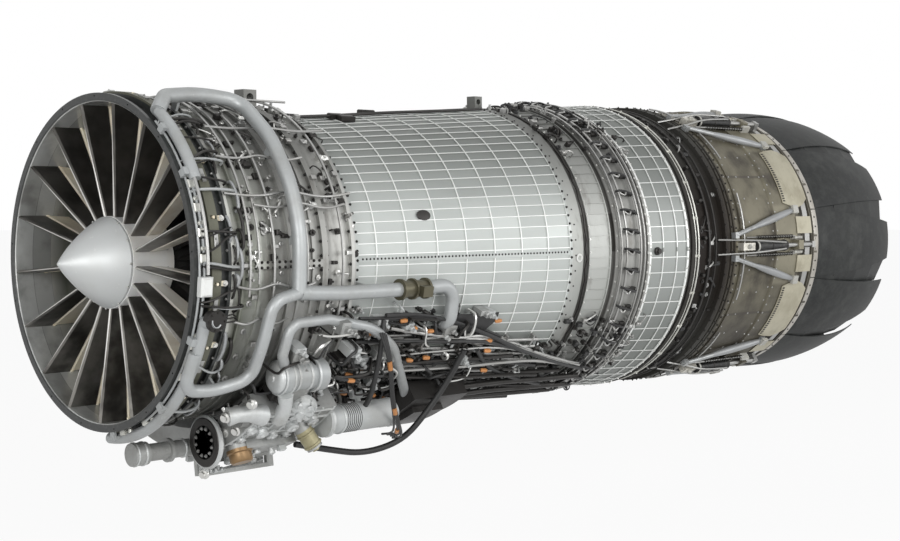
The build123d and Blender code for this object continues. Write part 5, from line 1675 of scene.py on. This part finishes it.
    def lip_units(self) -> None:
        """White box, the round port's flange and the small caps behind the lip on the port side."""
        box = brick(0.046, 0.066, 0.030, 0.25).seated(0.034, 95.8, 0.602)
        self.put("lip_box", "white_paint", "steel", box)
        port = (0.0496, 105.1, 0.6765)
        rim = lathe([(0.028, -0.040), (0.028, -0.012), (0.037, -0.010), (0.037, 0.0), (0.024, 0.001)], 28)
        flange = rim.seated(*port)
        heads = polar(*port) + round_places(0.031, 8) @ outward(port[1])
        bolts = bolt_head(0.0038, 0.004).copies(outward(port[1]), heads)
        self.put("port_flange", "dark_steel", "steel", flange, bolts)
        turns = np.array([60.0, 68.0, 76.0, 84.0, 112.0, 118.0, 124.0, 150.0, 164.0])
        cap = lathe([(0.009, 0.0), (0.009, 0.012), (0.006, 0.014), (0.006, 0.024)], 10)
        caps = cap.seated(0.030, turns, 0.600)
        blocks = brick(0.026, 0.030, 0.016, 0.2).seated(0.028, turns + 3.0, 0.600)
        self.put("lip_fittings", "pale_steel", "steel", caps, blocks)

    def inlet_pipes(self) -> None:
        """Bent pipes that cross over the lever ring, and short runs along the skin behind it."""
        random = np.random.default_rng(17)
        crossing, running, dark = [], [], []
        for index, turn in enumerate(np.sort(random.uniform(36.0, 152.0, 26))):
            end, swing = random.uniform(0.150, 0.215), random.uniform(-5.0, 5.0)
            path = polar(
                [0.022, 0.028, 0.070, 0.120, end, end],
                turn + swing * np.array([0.0, 0.0, 0.3, 1.0, 1.2, 1.2]),
                [0.602, 0.620, 0.624, 0.624, 0.612, 0.588])
            (crossing if index % 4 == 0 else dark).append(tube(path, random.uniform(0.0028, 0.0055), 7, 4))
        for index, turn in enumerate(np.sort(random.uniform(28.0, 152.0, 22))):
            x, run = random.uniform(0.145, 0.205), random.uniform(4.0, 12.0)
            path = polar(
                x + np.array([0.0, 0.0, 0.006, 0.002, 0.0]),
                turn + run * np.array([0.0, 0.06, 0.5, 0.94, 1.0]), [0.586, 0.604, 0.607, 0.604, 0.586])
            (running if index % 2 else dark).append(tube(path, random.uniform(0.0035, 0.007), 7, 4))
        rings = [hoop(x, radius, 0.0045, 36.0, 152.0, 7) for x, radius in ((0.017, 0.6045), (0.031, 0.6105))]
        self.put("lip_pipes", "pipe_satin", "pipe", *crossing, *rings)
        self.put("skin_pipes", "strut_grey", "pipe", *running)
        self.put("lip_lines", "dark_steel", "dark", *dark)

    def sump_fittings(self) -> None:
        """Drain caps, unions and small brackets under the sump and along the frame below it."""
        random = np.random.default_rng(53)
        x, turns = random.uniform(0.42, 0.62, 16), random.uniform(156.0, 187.0, 16)
        parts = []
        for index in range(16):
            tall = random.uniform(0.014, 0.034)
            part = brick(0.030, 0.016, tall, 0.2)
            if index % 3:
                size = random.uniform(0.007, 0.013)
                part = lathe(
                    [
                        (size, 0.0), (size, tall * 0.5), (size * 1.35, tall * 0.55),
                        (size * 1.35, tall * 0.85), (size * 0.6, tall)],
                    12)
            parts.append(part.seated(x[index], turns[index], 0.744))
        for start, end in ((166.5, 172.0), (168.0, 177.0)):
            path = polar(
                [0.322, 0.345, 0.420, 0.520, 0.640], np.linspace(start, end, 5),
                [0.770, 0.788, 0.790, 0.786, 0.770])
            parts.append(tube(path, 0.0055, 8, 5))
        for place, size in ((0.335, 0.012), (0.352, 0.009), (0.372, 0.012), (0.402, 0.008)):
            parts.append(collar(size, 0.010).seated(place, 167.4, 0.783, axial))
            parts.append(brick(0.012, 0.018, 0.022, 0.2).seated(place + 0.008, 169.5, 0.768))
        self.put("sump_fittings", "silver_casting", "casting", *parts)

    def harness(self) -> None:
        """Four wires that hang behind the generator, tied with orange sleeves."""
        knots = (
            (0.820, 114.0, 0.655), (0.860, 122.0, 0.700), (0.920, 134.0, 0.742), (0.990, 142.0, 0.782),
            (1.090, 151.0, 0.790), (1.120, 158.0, 0.765))
        wires, ties = [], []
        for index, shift in enumerate((-0.012, -0.004, 0.004, 0.012)):
            spread = shift * np.array([1.0, 0.5, 0.5, 1.0, 2.2, 2.6])
            x, turn, radius = np.array(knots).T
            path = smooth_path(
                polar(x + spread, turn + 40.0 * spread * (index % 2), radius + 0.3 * spread), 8)
            wires.append(rod(path, 0.0045, 7))
            if index == 1:
                ties = [rod(path[place:place + 3], 0.0095, 8) for place in (8, 20, 30)]
        self.put("harness_wires", "black_hose", "dark", *wires)
        self.put("harness_ties", "orange_fitting", "bronze", *ties)


# Lights and backdrop

@dataclass
class Studio:
    """Floor, backdrop, lamps and world."""

    floor_z: float = -1.35
    floor_size: float = 60.0
    floor_glow: float = 0.94

    def build(self) -> None:
        """Add the stage and the lights."""
        self.stage()
        self.world()
        self.lamp("key", (0.4, -8.0, 2.2), (1.7, 0.0, 0.0), 3.5, 280.0)
        self.lamp("side", (6.8, -5.5, 0.9), (2.2, 0.0, 0.0), 2.6, 95.0)
        self.lamp("front", (-5.4, -4.3, 1.2), (0.0, 0.0, 0.0), 2.2, 230.0)
        self.lamp("top", (1.5, 1.5, 7.0), (1.5, 0.0, 0.0), 5.0, 60.0)

    def lamp(
            self, name: str, place: Sequence[float], aim: Sequence[float], size: float,
            power: float) -> None:
        """Square soft lamp aimed at a point."""
        data = bpy.data.lights.new(name, "AREA")
        data.size = size
        data.energy = power
        made = bpy.data.objects.new(name, data)
        made.location = place
        made.rotation_euler = (Vector(aim) - Vector(place)).to_track_quat("-Z", "Y").to_euler()
        bpy.context.scene.collection.objects.link(made)

    def stage(self) -> None:
        """Pale floor that stays nearly white to the camera and keeps a faint shadow."""
        size = self.floor_size
        corners = np.array([(-size, -size), (size, -size), (size, size), (-size, size)])
        mesh = bpy.data.meshes.new("floor")
        mesh.from_pydata(np.column_stack([corners, np.full(4, self.floor_z)]).tolist(), [], [(0, 1, 2, 3)])
        floor = bpy.data.objects.new("floor", mesh)
        bpy.context.scene.collection.objects.link(floor)
        shader = Shader("floor_white")
        shader.set(Base_Color=(0.9, 0.9, 0.9), Roughness=0.9)
        glow = shader.node("ShaderNodeEmission", {}, {"Color": (1, 1, 1), "Strength": 1.0})
        seen = shader.ray("Camera").most(shader.ray("Glossy")) * self.floor_glow
        shader.surface(shader.node("ShaderNodeMixShader", {}, {0: seen, 1: shader.skin, 2: glow}))
        mesh.materials.append(shader.material)

    def world(self) -> None:
        """White surroundings for camera, glossy and transmitted rays, dim light for the others."""
        world = bpy.data.worlds.new("studio")
        bpy.context.scene.world = world
        world.use_nodes = True
        nodes = Nodes(world.node_tree)
        white = nodes.node("ShaderNodeBackground", {}, {"Color": (1, 1, 1), "Strength": 1.0})
        dim = nodes.node("ShaderNodeBackground", {}, {"Color": (0.9, 0.94, 1.0), "Strength": 0.12})
        seen = nodes.ray("Camera").most(nodes.ray("Glossy")).most(nodes.ray("Transmission"))
        mixed = nodes.node("ShaderNodeMixShader", {}, {0: seen, 1: dim, 2: white})
        nodes.add("ShaderNodeOutputWorld", {}, {"Surface": mixed})


def main() -> None:
    """Dress and light the engine."""
    logging.basicConfig(level=logging.INFO, format="%(message)s")
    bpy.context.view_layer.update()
    bpy.context.scene.view_settings.view_transform = "Standard"
    PhotoCamera().build()
    Studio().build()
    shop = Workshop()
    shop.fill()
    for builder in (
            CadDress, InletDress, FanCaseDress, DuctDress, FuelBandDress, ExhaustDress, NozzleDress,
            AccessoryDress, CastingDress, Clutter):
        builder(shop).build()
        log.info("%s done", builder.__name__)


if __name__ == "__main__":
    main()
